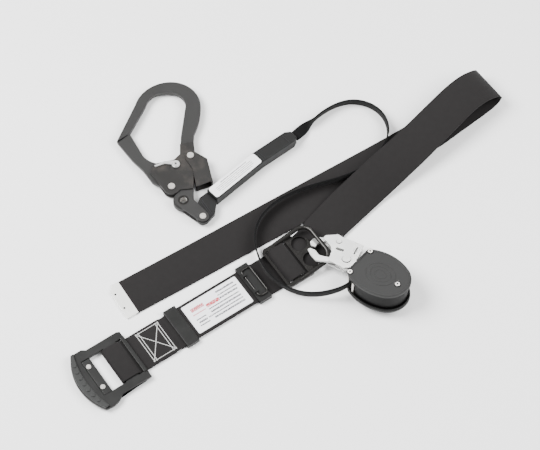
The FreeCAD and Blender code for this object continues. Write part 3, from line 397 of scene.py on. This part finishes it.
STRAP_WIDTH = 0.014
STRAP_THICK = 0.0020
FLAT_OVER = 0.040                                       # length over which it turns flat before the pack
stations = []
run = 0.0
for index, at in enumerate(route_line):
    if index:
        run += (at - route_line[index - 1]).length
    along = (route_line[min(index + 1, len(route_line) - 1)] - route_line[max(index - 1, 0)]).normalized()
    side = along.cross(Vector((0, 0, 1))).normalized()
    upright = side.cross(along).normalized()
    share = min(max((run - (strap_length - FLAT_OVER)) / FLAT_OVER, 0.0), 1.0)
    share = share * share * (3 - 2 * share)
    wander = (0.07 * math.sin(run * 31.0) + 0.2 * along.x) * (1 - share)
    angle = share * math.pi / 2 + wander
    stations.append((at, upright * math.cos(angle) + side * math.sin(angle)))
strap_mesh = ribbon("lanyard_webbing", stations, STRAP_WIDTH, STRAP_THICK)
strap = piece("lanyard_webbing", strap_mesh, body_of_node("lanyard_strap"), STRAP,
              ("lanyard_strap",))

# ---------------------------------------------------------------- belt webbing
BELT_FRONT = [  # (along, height) of the webbing's middle in the front frame, millimetres
    (-176.5, 1.0), (-247.0, 1.0), (-250.6, 1.5), (-252.8, 2.9), (-253.9, 5.0), (-253.3, 7.2),
    (-251.3, 8.5), (-246.0, 8.7), (-238.0, 8.7), (-232.9, 8.5), (-230.6, 6.8), (-228.4, 4.2),
    (-225.5, 3.3), (-215.0, 3.2), (-195.0, 3.2), (-175.5, 3.2), (-170.5, 1.05), (-167.5, 1.1),
    (-164.0, 2.75), (-155.0, 2.8), (-130.0, 2.8), (-105.0, 2.8), (-75.0, 2.8), (-49.0, 2.8),
    (-40.0, 2.75), (-36.5, 1.1), (-30.0, 1.0), (-17.0, 1.0), (-12.9, 1.5), (-8.9, 6.9), (-5.0, 7.6),
    (5.0, 7.6), (8.9, 6.9), (12.9, 1.5), (16.0, 1.0),
]
BELT_FREE = [  # x, y, z in the layout, lean of the width, heading
    (53.4, -26.0, 1.15, 0.0, 45.0), (63.7, -12.7, 2.3, 2.6, 46.5),
    (79.0, 5.0, 4.0, 3.5, 45.5), (105.0, 31.0, 8.6, 14.5, 43.5), (130.0, 55.0, 13.0, 21.0, 43.5),
    (158.0, 82.0, 17.5, 13.0, 43.5), (186.0, 109.0, 22.5, 6.0, 42.5), (218.0, 142.0, 28.5, 2.0, 41.0),
    (243.0, 168.0, 31.5, 0.0, 38.5), (260.0, 183.0, 31.0, 0.0, 36.5), (272.5, 192.0, 27.8, 0.0, 36.0),
    (280.5, 198.0, 22.0, 0.0, 36.0), (283.3, 200.0, 15.5, 0.0, 36.0), (281.0, 198.3, 9.0, 0.0, 36.0),
    (273.5, 192.8, 3.8, 0.0, 36.0), (261.0, 183.2, 1.2, 0.0, 36.5), (232.0, 159.5, 1.0, 0.0, 38.0),
    (200.0, 133.5, 1.0, 0.0, 36.0), (162.0, 107.5, 1.0, 0.0, 33.0), (78.0, 54.4, 1.0, 0.0, 32.2),
    (-6.0, 1.5, 1.0, 0.0, 32.2), (-90.0, -51.5, 1.0, 0.0, 32.2), (-176.0, -104.6, 1.0, 0.0, 32.2),
]
BELT_WIDTH = 0.050
BELT_THICK = 0.0019                                     # the CAD webbing is 0.0020
FREE_START = 16.0                                       # where the free run begins, along the front frame
along_front = []
for x, y, z in smooth_line([(x, 0.0, z) for x, z in BELT_FRONT], 3.0):
    along_front.append((spot(FRONT, x, y, z), FRONT.to_3x3() @ Vector((0, 1, 0))))
front_angle = math.radians(FRONT_TURN)
free = [(FREE_START * math.cos(front_angle) + FRONT_X, FREE_START * math.sin(front_angle) + FRONT_Y, 1.0,
         0.0, FRONT_TURN)] + BELT_FREE
along_free = []
for x, y, z, lean, heading in smooth_line(free, 5.0)[1:]:
    turn = Matrix.Rotation(math.radians(heading), 3, "Z") @ Matrix.Rotation(math.radians(lean), 3, "X")
    along_free.append(((LAYOUT @ Vector((x, y, z))) * MM, turn @ Vector((0, 1, 0))))
belt_stations = along_front + along_free
belt_mesh = ribbon("body_belt", belt_stations, BELT_WIDTH, BELT_THICK)
belt = piece("body_belt", belt_mesh, body_of_node("belt_webbing"), WEBBING, ("belt_webbing",))

# ---------------------------------------------------------------- hardware with eased edges
EASED = [
    ("belt_tip", "metal_tip", TIP_FINISH, "tip_metal", 0.5),
    ("buckle_frame", "buckle_plate", BLACKENED_STEEL_AND_PAINTED_SHADE, "buckle_black", 0.5),
    ("buckle_grip", "grip_pad", GRIP, "grip_plastic", 0.8),
    ("slide_bar", "locking_bar", BLACKENED_STEEL_AND_PAINTED_SHADE, "buckle_black", 0.6),
    ("front_keeper", "keeper_by_the_buckle", BLACKENED_STEEL_AND_PAINTED_SHADE, "buckle_black", 0.6),
    ("rear_keeper", "keeper_by_the_ring", BLACKENED_STEEL_AND_PAINTED_SHADE, "buckle_black", 0.5),
    ("connector_top_plate", "connector_near_side", STEEL, "bright_steel", 0.3),
    ("connector_bottom_plate", "connector_far_side", STEEL, "bright_steel", 0.3),
    ("connector_jaw", "connector_nose", STEEL, "bright_steel", 0.5),
    ("connector_gate", "connector_latch", STEEL, "bright_steel", 0.5),
    ("connector_tongue", "connector_tail", STEEL, "bright_steel", 0.3),
    ("reel_top_plate", "reel_near_cover", REEL_SHELL, "reel_grey", 0.9),
    ("reel_bottom_plate", "reel_far_cover", REEL_SHELL, "reel_grey", 0.9),
    ("link_plates", "shackle_plates", HOOK_FINISH, "hook_grey", 0.35),
    ("hook_body", "hook_forging", HOOK_FINISH, "hook_grey", 0.9),
    ("top_cheek", "near_cheek", NECK_FINISH, "hook_grey", 0.3),
    ("bottom_cheek", "far_cheek", NECK_FINISH, "hook_grey", 0.3),
    ("hook_gate", "sprung_gate", HOOK_FINISH, "hook_grey", 0.6),
    ("safety_lever", "thumb_lever", NECK_FINISH, "hook_grey", 0.3),
    ("lock_pawl", "latch_pawl", STEEL, "bright_steel", 0.4),
    ("absorber_sleeve", "absorber_wrap", SLEEVE, "sleeve_black", 1.6),
    ("absorber_loop", "absorber_eye", SLEEVE, "strap_black", 1.8),
]
for node, name, material, slot, ease in EASED:
    eased(node, name, material, ease)

PLAIN = {
    "tip_rivets": TIP_FINISH, "slide_rivets": RIVET, "hanger_ring": RING_BLACK, "d_plate": RING_BLACK,
    "connector_rivet": STEEL, "connector_small_rivet": STEEL, "connector_spring": WIRE,
    "reel_side_band": DARK_MOULDING_AND_PAINTED_SHADE, "reel_rivets": RIVET, "reel_pin": RIVET, "mouth_roller": RIVET,
    "drum_shaft": RIVET, "spring_case": DARK_MOULDING_AND_PAINTED_SHADE, "spiral_spring": WIRE, "reel_pawl_pin": RIVET,
    "drum": DARK_MOULDING_AND_PAINTED_SHADE,
    "wound_strap": FRAY, "ratchet_wheel": RIVET, "reel_pawl": RIVET, "eye_pin": RIVET,
    "thimble_pin": RIVET, "thimble_head": RIVET, "hook_gate_rivet": RIVET, "hook_gate_spring": WIRE,
    "pawl_rivet": STEEL, "neck_rivet": RIVET, "tear_webbing": FRAY,
}
for node, material in PLAIN.items():
    nodes[node].data.materials.clear()
    nodes[node].data.materials.append(material)


# ---------------------------------------------------------------- reel covers: skirts in painted shade, rim bead, relief
ARC_STEPS = 14
MOUTH_POINTS = 8                                        # outline points left without a skirt at each end


def arc_through(start, via, end):
    """Points of the arc from start through via to end, without its last point."""
    (ax, ay), (bx, by), (cx, cy) = start, via, end
    d = 2 * (ax * (by - cy) + bx * (cy - ay) + cx * (ay - by))
    ux = ((ax * ax + ay * ay) * (by - cy) + (bx * bx + by * by) * (cy - ay)
          + (cx * cx + cy * cy) * (ay - by)) / d
    uy = ((ax * ax + ay * ay) * (cx - bx) + (bx * bx + by * by) * (ax - cx)
          + (cx * cx + cy * cy) * (bx - ax)) / d
    radius = math.hypot(ax - ux, ay - uy)
    first = math.atan2(ay - uy, ax - ux)
    middle = (math.atan2(by - uy, bx - ux) - first) % (2 * math.pi)
    sweep = (math.atan2(cy - uy, cx - ux) - first) % (2 * math.pi)
    if middle > sweep:
        sweep -= 2 * math.pi
    angles = [first + sweep * k / ARC_STEPS for k in range(ARC_STEPS)]
    return [(ux + radius * math.cos(angle), uy + radius * math.sin(angle)) for angle in angles]


def reel_outline():
    """The cover's outline in the reel's plane, from its mouth corner round to the other."""
    legs = [((-33.5, 19.0), (-30.5, 23.0), (-26.0, 26.5)), ((-26.0, 26.5), (-4.0, 32.0), (22.0, 27.5)),
            ((22.0, 27.5), (41.5, 0.0), (22.0, -27.5)), ((22.0, -27.5), (-4.0, -32.0), (-26.0, -26.5)),
            ((-26.0, -26.5), (-30.5, -23.0), (-33.5, -19.0))]
    outline = []
    for leg in legs:
        outline += arc_through(*leg)
    return outline + [(-33.5, -19.0)]


def swept(name, line, section, closed):
    """Mesh of a section (offset inwards, height) carried along a line of (x, y) in the reel's plane."""
    count, ring = len(line), len(section)
    verts, faces = [], []
    for k, (x, y) in enumerate(line):
        before = line[k - 1] if closed or k else line[k]
        after = line[(k + 1) % count] if closed or k < count - 1 else line[k]
        way = Vector((after[0] - before[0], after[1] - before[1])).normalized()
        verts += [spot(REEL, x + way.y * inset, y - way.x * inset, height) for inset, height in section]
    for k in range(count if closed else count - 1):
        for j in range(ring):
            a, b = k * ring + j, k * ring + (j + 1) % ring
            c, d = ((k + 1) % count) * ring + (j + 1) % ring, ((k + 1) % count) * ring + j
            faces.append((a, b, c, d))
    if not closed:
        faces += [tuple(range(ring)), tuple(range((count - 1) * ring, count * ring))[::-1]]
    mesh = bpy.data.meshes.new(name)
    mesh.from_pydata([tuple(v) for v in verts], [], faces)
    face_outwards(mesh)
    return mesh


OUTLINE = reel_outline()
skirt_line = OUTLINE[MOUTH_POINTS:-MOUTH_POINTS]
REEL_BODY = body_of_node("reel_top_plate")
# The cover skirts belong to the covers' moulding; the very dark material on them is painted shade on the
# reel's shaded sides.
for name, top, bottom in (("near_cover_skirt", 13.85, 10.6), ("far_cover_skirt", -9.0, -12.05)):
    section = [(0.3, top), (0.3, bottom), (1.7, bottom), (1.7, top)]
    piece(name, swept(name, skirt_line, section, False), REEL_BODY, DARK_MOULDING_AND_PAINTED_SHADE, smooth=False)
bead = [(1.2, 16.35), (1.5, 16.75), (2.2, 16.95), (2.9, 16.75), (3.2, 16.35)]
piece("near_cover_bead", swept("near_cover_bead", OUTLINE, bead, True), REEL_BODY, REEL_SHELL)
for number, (radius, squash) in enumerate(((19.0, 0.86), (13.5, 0.8), (8.0, 0.78))):
    loop = [(2.0 + radius * math.cos(k * math.pi / 24), radius * squash * math.sin(k * math.pi / 24))
            for k in range(48)]
    name = f"cover_relief_{number}"
    section = [(-0.7, 16.35), (-0.4, 16.7), (0.4, 16.7), (0.7, 16.35)]
    piece(name, swept(name, loop, section, True), REEL_BODY, REEL_SHELL)


# ---------------------------------------------------------------- small round details
DISC_SIDES = 28


def discs(name, place, spots, radius, bottom, height, node, material, bore=0.0):
    """Low round studs, or rings where a bore is given, standing on a surface of a frame."""
    verts, faces = [], []
    rim = [(radius, bottom), (radius, bottom + 0.7 * height), (radius - 0.3 * height, bottom + height)]
    rim += [(bore, bottom + height), (bore, bottom)] if bore else []
    for x, y in spots:
        start, count = len(verts), len(rim)
        for k in range(DISC_SIDES):
            angle = 2 * math.pi * k / DISC_SIDES
            verts += [spot(place, x + r * math.cos(angle), y + r * math.sin(angle), z) for r, z in rim]
        for k in range(DISC_SIDES):
            here, there = start + k * count, start + (k + 1) % DISC_SIDES * count
            last = count if bore else count - 1
            faces += [(here + j, there + j, there + (j + 1) % count, here + (j + 1) % count)
                      for j in range(last)]
        if not bore:
            faces.append(tuple(start + k * count + count - 1 for k in range(DISC_SIDES)))
            faces.append(tuple(start + k * count for k in range(DISC_SIDES))[::-1])
    mesh = bpy.data.meshes.new(name)
    mesh.from_pydata([tuple(v) for v in verts], [], faces)
    face_outwards(mesh)
    piece(name, mesh, body_of_node(node), material, smooth=False)


# Dark raised discs stand for the tip's two dimples: painted shade in the dents.
discs("tip_dimples", TIP, [(-9.0, 11.0), (-9.0, -11.0)], 1.3, 3.05, 0.12, "tip_rivets", DARK_MOULDING_AND_PAINTED_SHADE)
REEL_RIVETS = [(-29.0, 20.5), (-29.0, -20.5), (27.5, 0.0)]
# A dark disc on each reel rivet head is painted shade in its hollow; the dark ring around each head's base
# is painted shadow on the cover.
discs("reel_rivet_eyes", REEL, REEL_RIVETS, 1.3, 17.38, 0.1, "reel_rivets", DARK_MOULDING_AND_PAINTED_SHADE)
discs("reel_rivet_seats", REEL, REEL_RIVETS, 4.1, 16.38, 0.3, "reel_rivets", DARK_MOULDING_AND_PAINTED_SHADE, 3.1)
# The thin blackened rings around the connector rivet heads are painted shadow on the bright plates.
discs("connector_rivet_seat", CONNECTOR, [(0.0, 0.0)], 5.9, 4.78, 0.16, "connector_rivet", BLACKENED_STEEL_AND_PAINTED_SHADE,
      5.25)
discs("connector_rivet_eye", CONNECTOR, [(0.0, 0.0)], 3.0, 5.78, 0.12, "connector_rivet", RIVET,
      2.4)
discs("small_rivet_seat", CONNECTOR, [(-19.4, 22.0)], 3.8, 4.78, 0.16, "connector_small_rivet", BLACKENED_STEEL_AND_PAINTED_SHADE,
      3.25)
discs("gate_rivet_dome", HOOK, [(-12.8, 21.5)], 3.2, 13.7, 0.5, "hook_gate_rivet", RIVET)
discs("neck_rivet_dome", HOOK, [(15.5, 63.2)], 3.0, 15.35, 0.5, "neck_rivet", RIVET)
discs("eye_ring", HOOK, [(0.0, 0.0)], 6.6, 12.5, 0.7, "link_plates", RING_BLACK, 4.6)
discs("slide_rivet_domes", FRONT, [(-277.1, 16.0), (-277.1, -16.0)], 2.2, 7.85, 0.5, "slide_rivets", RIVET)


# ---------------------------------------------------------------- stitching
def stitch_tool():
    """Node group: runs of thread along a line, as separate rounded stitches."""
    group = bpy.data.node_groups.new("stitching", "GeometryNodeTree")
    for label, kind, value in (("Geometry", "NodeSocketGeometry", None), ("Pitch", "NodeSocketFloat", 0.003),
                               ("Stitch length", "NodeSocketFloat", 0.0024),
                               ("Thread radius", "NodeSocketFloat", 0.0004),
                               ("Wander", "NodeSocketFloat", 0.06), ("Seed", "NodeSocketInt", 7),
                               ("Thread", "NodeSocketMaterial", None)):
        socket = group.interface.new_socket(label, in_out="INPUT", socket_type=kind)
        if value is not None:
            socket.default_value = value
    group.interface.new_socket("Geometry", in_out="OUTPUT", socket_type="NodeSocketGeometry")
    add, link = group.nodes.new, group.links.new
    source, result = add("NodeGroupInput"), add("NodeGroupOutput")
    line = add("GeometryNodeMeshToCurve")
    even = add("GeometryNodeResampleCurve")
    even.mode = "LENGTH"
    tangent = add("GeometryNodeInputTangent")
    aim = add("FunctionNodeAlignRotationToVector")
    aim.axis = "Z"
    rod = add("GeometryNodeMeshCylinder")
    rod.inputs["Vertices"].default_value = 6
    drift = add("FunctionNodeRandomValue")
    drift.data_type = "FLOAT_VECTOR"
    spread = add("ShaderNodeVectorMath")
    spread.operation = "SCALE"
    drift.inputs["Min"].default_value = (-1.0, -1.0, -1.0)
    drift.inputs["Max"].default_value = (1.0, 1.0, 1.0)
    turned = add("ShaderNodeVectorMath")
    turned.operation = "ADD"
    place = add("GeometryNodeInstanceOnPoints")
    real = add("GeometryNodeRealizeInstances")
    finish = add("GeometryNodeSetMaterial")
    link(source.outputs["Geometry"], line.inputs["Mesh"])
    link(line.outputs["Curve"], even.inputs["Curve"])
    link(source.outputs["Pitch"], even.inputs["Length"])
    link(source.outputs["Seed"], drift.inputs["Seed"])
    link(drift.outputs["Value"], spread.inputs[0])
    link(source.outputs["Wander"], spread.inputs["Scale"])
    link(tangent.outputs["Tangent"], turned.inputs[0])
    link(spread.outputs["Vector"], turned.inputs[1])
    link(turned.outputs["Vector"], aim.inputs["Vector"])
    link(source.outputs["Thread radius"], rod.inputs["Radius"])
    link(source.outputs["Stitch length"], rod.inputs["Depth"])
    link(even.outputs["Curve"], place.inputs["Points"])
    link(rod.outputs["Mesh"], place.inputs["Instance"])
    link(aim.outputs["Rotation"], place.inputs["Rotation"])
    link(place.outputs["Instances"], real.inputs["Geometry"])
    link(real.outputs["Geometry"], finish.inputs["Geometry"])
    link(source.outputs["Thread"], finish.inputs["Material"])
    link(finish.outputs["Geometry"], result.inputs["Geometry"])
    return group


STITCHING = stitch_tool()


THREAD_WANDER = 0.08


def stitches(name, lines, thread, body, pitch, length, radius, seed):
    """Thread along lines of row-frame points; sizes in millimetres."""
    verts, edges = [], []
    for line in lines:
        edges += [(len(verts) + k, len(verts) + k + 1) for k in range(len(line) - 1)]
        verts += [tuple(point) for point in line]
    guide_mesh = bpy.data.meshes.new(name + "_guide")
    guide_mesh.from_pydata(verts, edges, [])
    guide = bpy.data.objects.new(name + "_guide", guide_mesh)
    bpy.context.scene.collection.objects.link(guide)
    tool = guide.modifiers.new("stitching", "NODES")
    tool.node_group = STITCHING
    named = {item.name: item.identifier for item in STITCHING.interface.items_tree
             if item.in_out == "INPUT"}
    for label, value in (("Pitch", pitch * MM), ("Stitch length", length * MM),
                         ("Thread radius", radius * MM),
                         ("Wander", THREAD_WANDER), ("Seed", seed), ("Thread", thread)):
        tool[named[label]] = value
    bpy.context.view_layer.update()
    made = bpy.data.meshes.new_from_object(guide.evaluated_get(bpy.context.evaluated_depsgraph_get()))
    bpy.data.objects.remove(guide)
    bpy.data.meshes.remove(guide_mesh)
    made.name = name
    piece(name, made, body, thread)


def front_line(points, height):
    """Points on the belt's front run at one height."""
    return [spot(FRONT, x, y, height) for x, y in points]


BOX_LEFT, BOX_RIGHT, BOX_HALF = -207.0, -176.0, 21.0
BOX_BAR_IN = 3.5                                        # cross bars, in from the box's ends
BOX_THREAD_HEIGHT = 4.25
box_lines = [
    front_line([(BOX_LEFT, -BOX_HALF), (BOX_RIGHT, -BOX_HALF), (BOX_RIGHT, BOX_HALF), (BOX_LEFT, BOX_HALF),
                (BOX_LEFT, -BOX_HALF)], BOX_THREAD_HEIGHT),
    front_line([(BOX_LEFT, -BOX_HALF), (BOX_RIGHT, BOX_HALF)], BOX_THREAD_HEIGHT),
    front_line([(BOX_LEFT, BOX_HALF), (BOX_RIGHT, -BOX_HALF)], BOX_THREAD_HEIGHT),
    front_line([(BOX_LEFT + BOX_BAR_IN, -BOX_HALF), (BOX_LEFT + BOX_BAR_IN, BOX_HALF)], BOX_THREAD_HEIGHT),
    front_line([(BOX_RIGHT - BOX_BAR_IN, -BOX_HALF), (BOX_RIGHT - BOX_BAR_IN, BOX_HALF)], BOX_THREAD_HEIGHT),
]
stitches("box_and_cross_stitching", box_lines, THREAD_LIGHT, body_of_node("belt_webbing"),
         2.6, 2.2, 0.5, 7)


# ---------------------------------------------------------------- labels
def printed(name, marks, ground, inks):
    """Label print on a UV map in millimetres: marks are (u, v, half length, half height, ink)."""
    made, tree, shader = new_material(name, 0.42)
    uv = tree.nodes.new("ShaderNodeUVMap")
    uv.uv_map = "print"
    axes = tree.nodes.new("ShaderNodeSeparateXYZ")
    tree.links.new(uv.outputs["UV"], axes.inputs["Vector"])

    def maths(operation, a, b):
        made_node = tree.nodes.new("ShaderNodeMath")
        made_node.operation = operation
        for socket, value in zip(made_node.inputs, (a, b)):
            if hasattr(value, "links"):
                tree.links.new(value, socket)
            else:
                socket.default_value = value
        return made_node.outputs["Value"]

    dashes = node_in(tree, "ShaderNodeTexNoise", Scale=0.9, Detail=2.0)
    tree.links.new(uv.outputs["UV"], dashes.inputs["Vector"])
    broken = maths("GREATER_THAN", dashes.outputs["Fac"], 0.42)
    tone = mixed(tree, dashes.outputs["Fac"], ground, [min(1.0, c * 1.04) for c in ground])
    for u, v, half_u, half_v, ink in marks:
        in_u = maths("LESS_THAN", maths("ABSOLUTE", maths("SUBTRACT", axes.outputs["X"], u), 0.0), half_u)
        in_v = maths("LESS_THAN", maths("ABSOLUTE", maths("SUBTRACT", axes.outputs["Y"], v), 0.0), half_v)
        tone = mixed(tree, maths("MULTIPLY", maths("MULTIPLY", in_u, in_v), broken), tone, inks[ink])
    tree.links.new(tone, shader.inputs["Base Color"])
    return made


LABEL_THICK = 0.55
BELT_LABEL_TOP, ABSORBER_LABEL_TOP = 4.43, 16.82
EDGE_THREAD_HEIGHT, WRAP_THREAD_HEIGHT, EYE_THREAD_HEIGHT = 4.55, 16.45, 10.95


def label_piece(node, name, place, low, high, top, material, corner):
    """Thin rounded label over a CAD label; its top face carries the print."""
    (x0, y0), (x1, y1) = low, high
    outline = []
    for cx, cy, start in ((x1 - corner, y1 - corner, 0), (x0 + corner, y1 - corner, 90),
                          (x0 + corner, y0 + corner, 180), (x1 - corner, y0 + corner, 270)):
        for step in range(7):
            angle = math.radians(start + step * 15)
            outline.append((cx + corner * math.cos(angle), cy + corner * math.sin(angle)))
    count = len(outline)
    verts = [spot(place, x, y, top - LABEL_THICK) for x, y in outline]
    verts += [spot(place, x, y, top) for x, y in outline]
    faces = [tuple(range(count))[::-1], tuple(range(count, 2 * count))]
    faces += [(k, (k + 1) % count, count + (k + 1) % count, count + k) for k in range(count)]
    mesh = bpy.data.meshes.new(name)
    mesh.from_pydata([tuple(v) for v in verts], [], faces)
    uv = mesh.uv_layers.new(name="print")
    for loop in mesh.loops:
        x, y = outline[loop.vertex_index % count]
        uv.data[loop.index].uv = (x - x0, y - y0)
    piece(name, mesh, body_of_node(node), material, (node,), smooth=False)


belt_marks = [(17.0, 31.5, 9.0, 2.6, 1), (19.0, 30.0, 5.0, 1.0, 2), (37.0, 27.0, 9.5, 2.4, 1),
              (16.0, 24.5, 9.0, 0.7, 2)]
for row, (u, v, half) in enumerate(((60.0, 36.5, 13.0), (61.0, 31.5, 14.0), (60.0, 27.0, 13.0),
                                    (50.0, 21.5, 22.0), (50.0, 17.0, 22.0), (47.0, 12.5, 25.0),
                                    (50.0, 8.0, 22.0), (14.0, 17.0, 7.0), (14.0, 12.5, 6.0),
                                    (14.0, 8.0, 7.0))):
    belt_marks.append((u, v, half, 0.8 if row % 2 else 1.15, 0))
PRINT = printed("belt label print", belt_marks, (0.78, 0.78, 0.80),
                [(0.06, 0.06, 0.07), (0.42, 0.035, 0.05), (0.50, 0.16, 0.18)])
label_piece("belt_label", "rating_label", FRONT, (-142.0, -21.0), (-63.0, 21.0), BELT_LABEL_TOP, PRINT, 1.5)
small_marks = [(40.0, 13.6, 22.0, 0.6, 0), (38.0, 10.8, 30.0, 0.35, 0), (38.0, 8.4, 30.0, 0.35, 0),
               (38.0, 6.0, 30.0, 0.35, 0), (38.0, 3.6, 26.0, 0.35, 0)]
SMALL_PRINT = printed("absorber label print", small_marks, (0.80, 0.80, 0.81), [(0.10, 0.10, 0.11)])
label_piece("absorber_label", "absorber_care_label", ABSORBER, (29.5, 5.5), (107.0, 22.5),
            ABSORBER_LABEL_TOP, SMALL_PRINT, 3.0)
edge_lines = [front_line([(-141.0, -20.2), (-64.0, -20.2), (-64.0, 20.2), (-141.0, 20.2), (-141.0, -20.2)],
                         EDGE_THREAD_HEIGHT)]
stitches("label_edge_stitching", edge_lines, LABEL_EDGE, body_of_node("belt_label"),
         2.4, 1.7, 0.22, 11)

wrap_lines = [[spot(ABSORBER, x, y, WRAP_THREAD_HEIGHT) for x, y in ((110.5, 6.5), (110.5, 21.5))],
              [spot(ABSORBER, x, y, WRAP_THREAD_HEIGHT) for x, y in ((113.5, 6.2), (113.5, 21.0))],
              [spot(ABSORBER, x, y, WRAP_THREAD_HEIGHT) for x, y in ((152.0, 2.5), (152.0, 17.0))]]
stitches("wrap_seam_stitching", wrap_lines, THREAD_DARK, body_of_node("absorber_sleeve"),
         2.4, 1.8, 0.3, 3)
eye_lines = [[spot(ABSORBER, x, y, EYE_THREAD_HEIGHT) for x, y in ((9.0, -4.0), (13.0, 16.0))],
             [spot(ABSORBER, x, y, EYE_THREAD_HEIGHT) for x, y in ((11.5, -3.5), (15.5, 17.5))]]
stitches("eye_bartack", eye_lines, THREAD_DARK, body_of_node("absorber_loop"),
         1.6, 1.4, 0.3, 5)

# ---------------------------------------------------------------- floor and light
FLOOR_HALF, FLOOR_HEIGHT = 4.0, -0.0003
floor_mesh = bpy.data.meshes.new("floor")
floor_mesh.from_pydata([(x * FLOOR_HALF, y * FLOOR_HALF, FLOOR_HEIGHT)
                        for x, y in ((-1, -1), (1, -1), (1, 1), (-1, 1))], [], [(0, 1, 2, 3)])
floor = bpy.data.objects.new("floor", floor_mesh)
bpy.context.scene.collection.objects.link(floor)
floor_mesh.materials.append(surface("studio paper", (0.86, 0.86, 0.86), 0.9, 0.0, 0.01, 2.0, 300.0, 0.00001))

world = bpy.data.worlds.new("studio")
bpy.context.scene.world = world
world.use_nodes = True
world.node_tree.nodes["Background"].inputs["Color"].default_value = (1.0, 1.0, 1.0, 1.0)
world.node_tree.nodes["Background"].inputs["Strength"].default_value = 0.75


def soft_light(name, at, size, power):
    """A round area light aimed at the camera's target."""
    lamp = bpy.data.objects.new(name, bpy.data.lights.new(name, "AREA"))
    lamp.data.shape = "DISK"
    lamp.data.size = size
    lamp.data.energy = power
    lamp.location = at
    lamp.rotation_euler = (target - Vector(at)).to_track_quat("-Z", "Y").to_euler()
    bpy.context.scene.collection.objects.link(lamp)


soft_light("key light", (-1.3, 0.1, 1.7), 1.3, 115.0)
soft_light("fill light", (1.4, -0.3, 1.7), 1.5, 72.0)
soft_light("sheen light", (0.1, 1.5, 1.5), 0.5, 9.0)
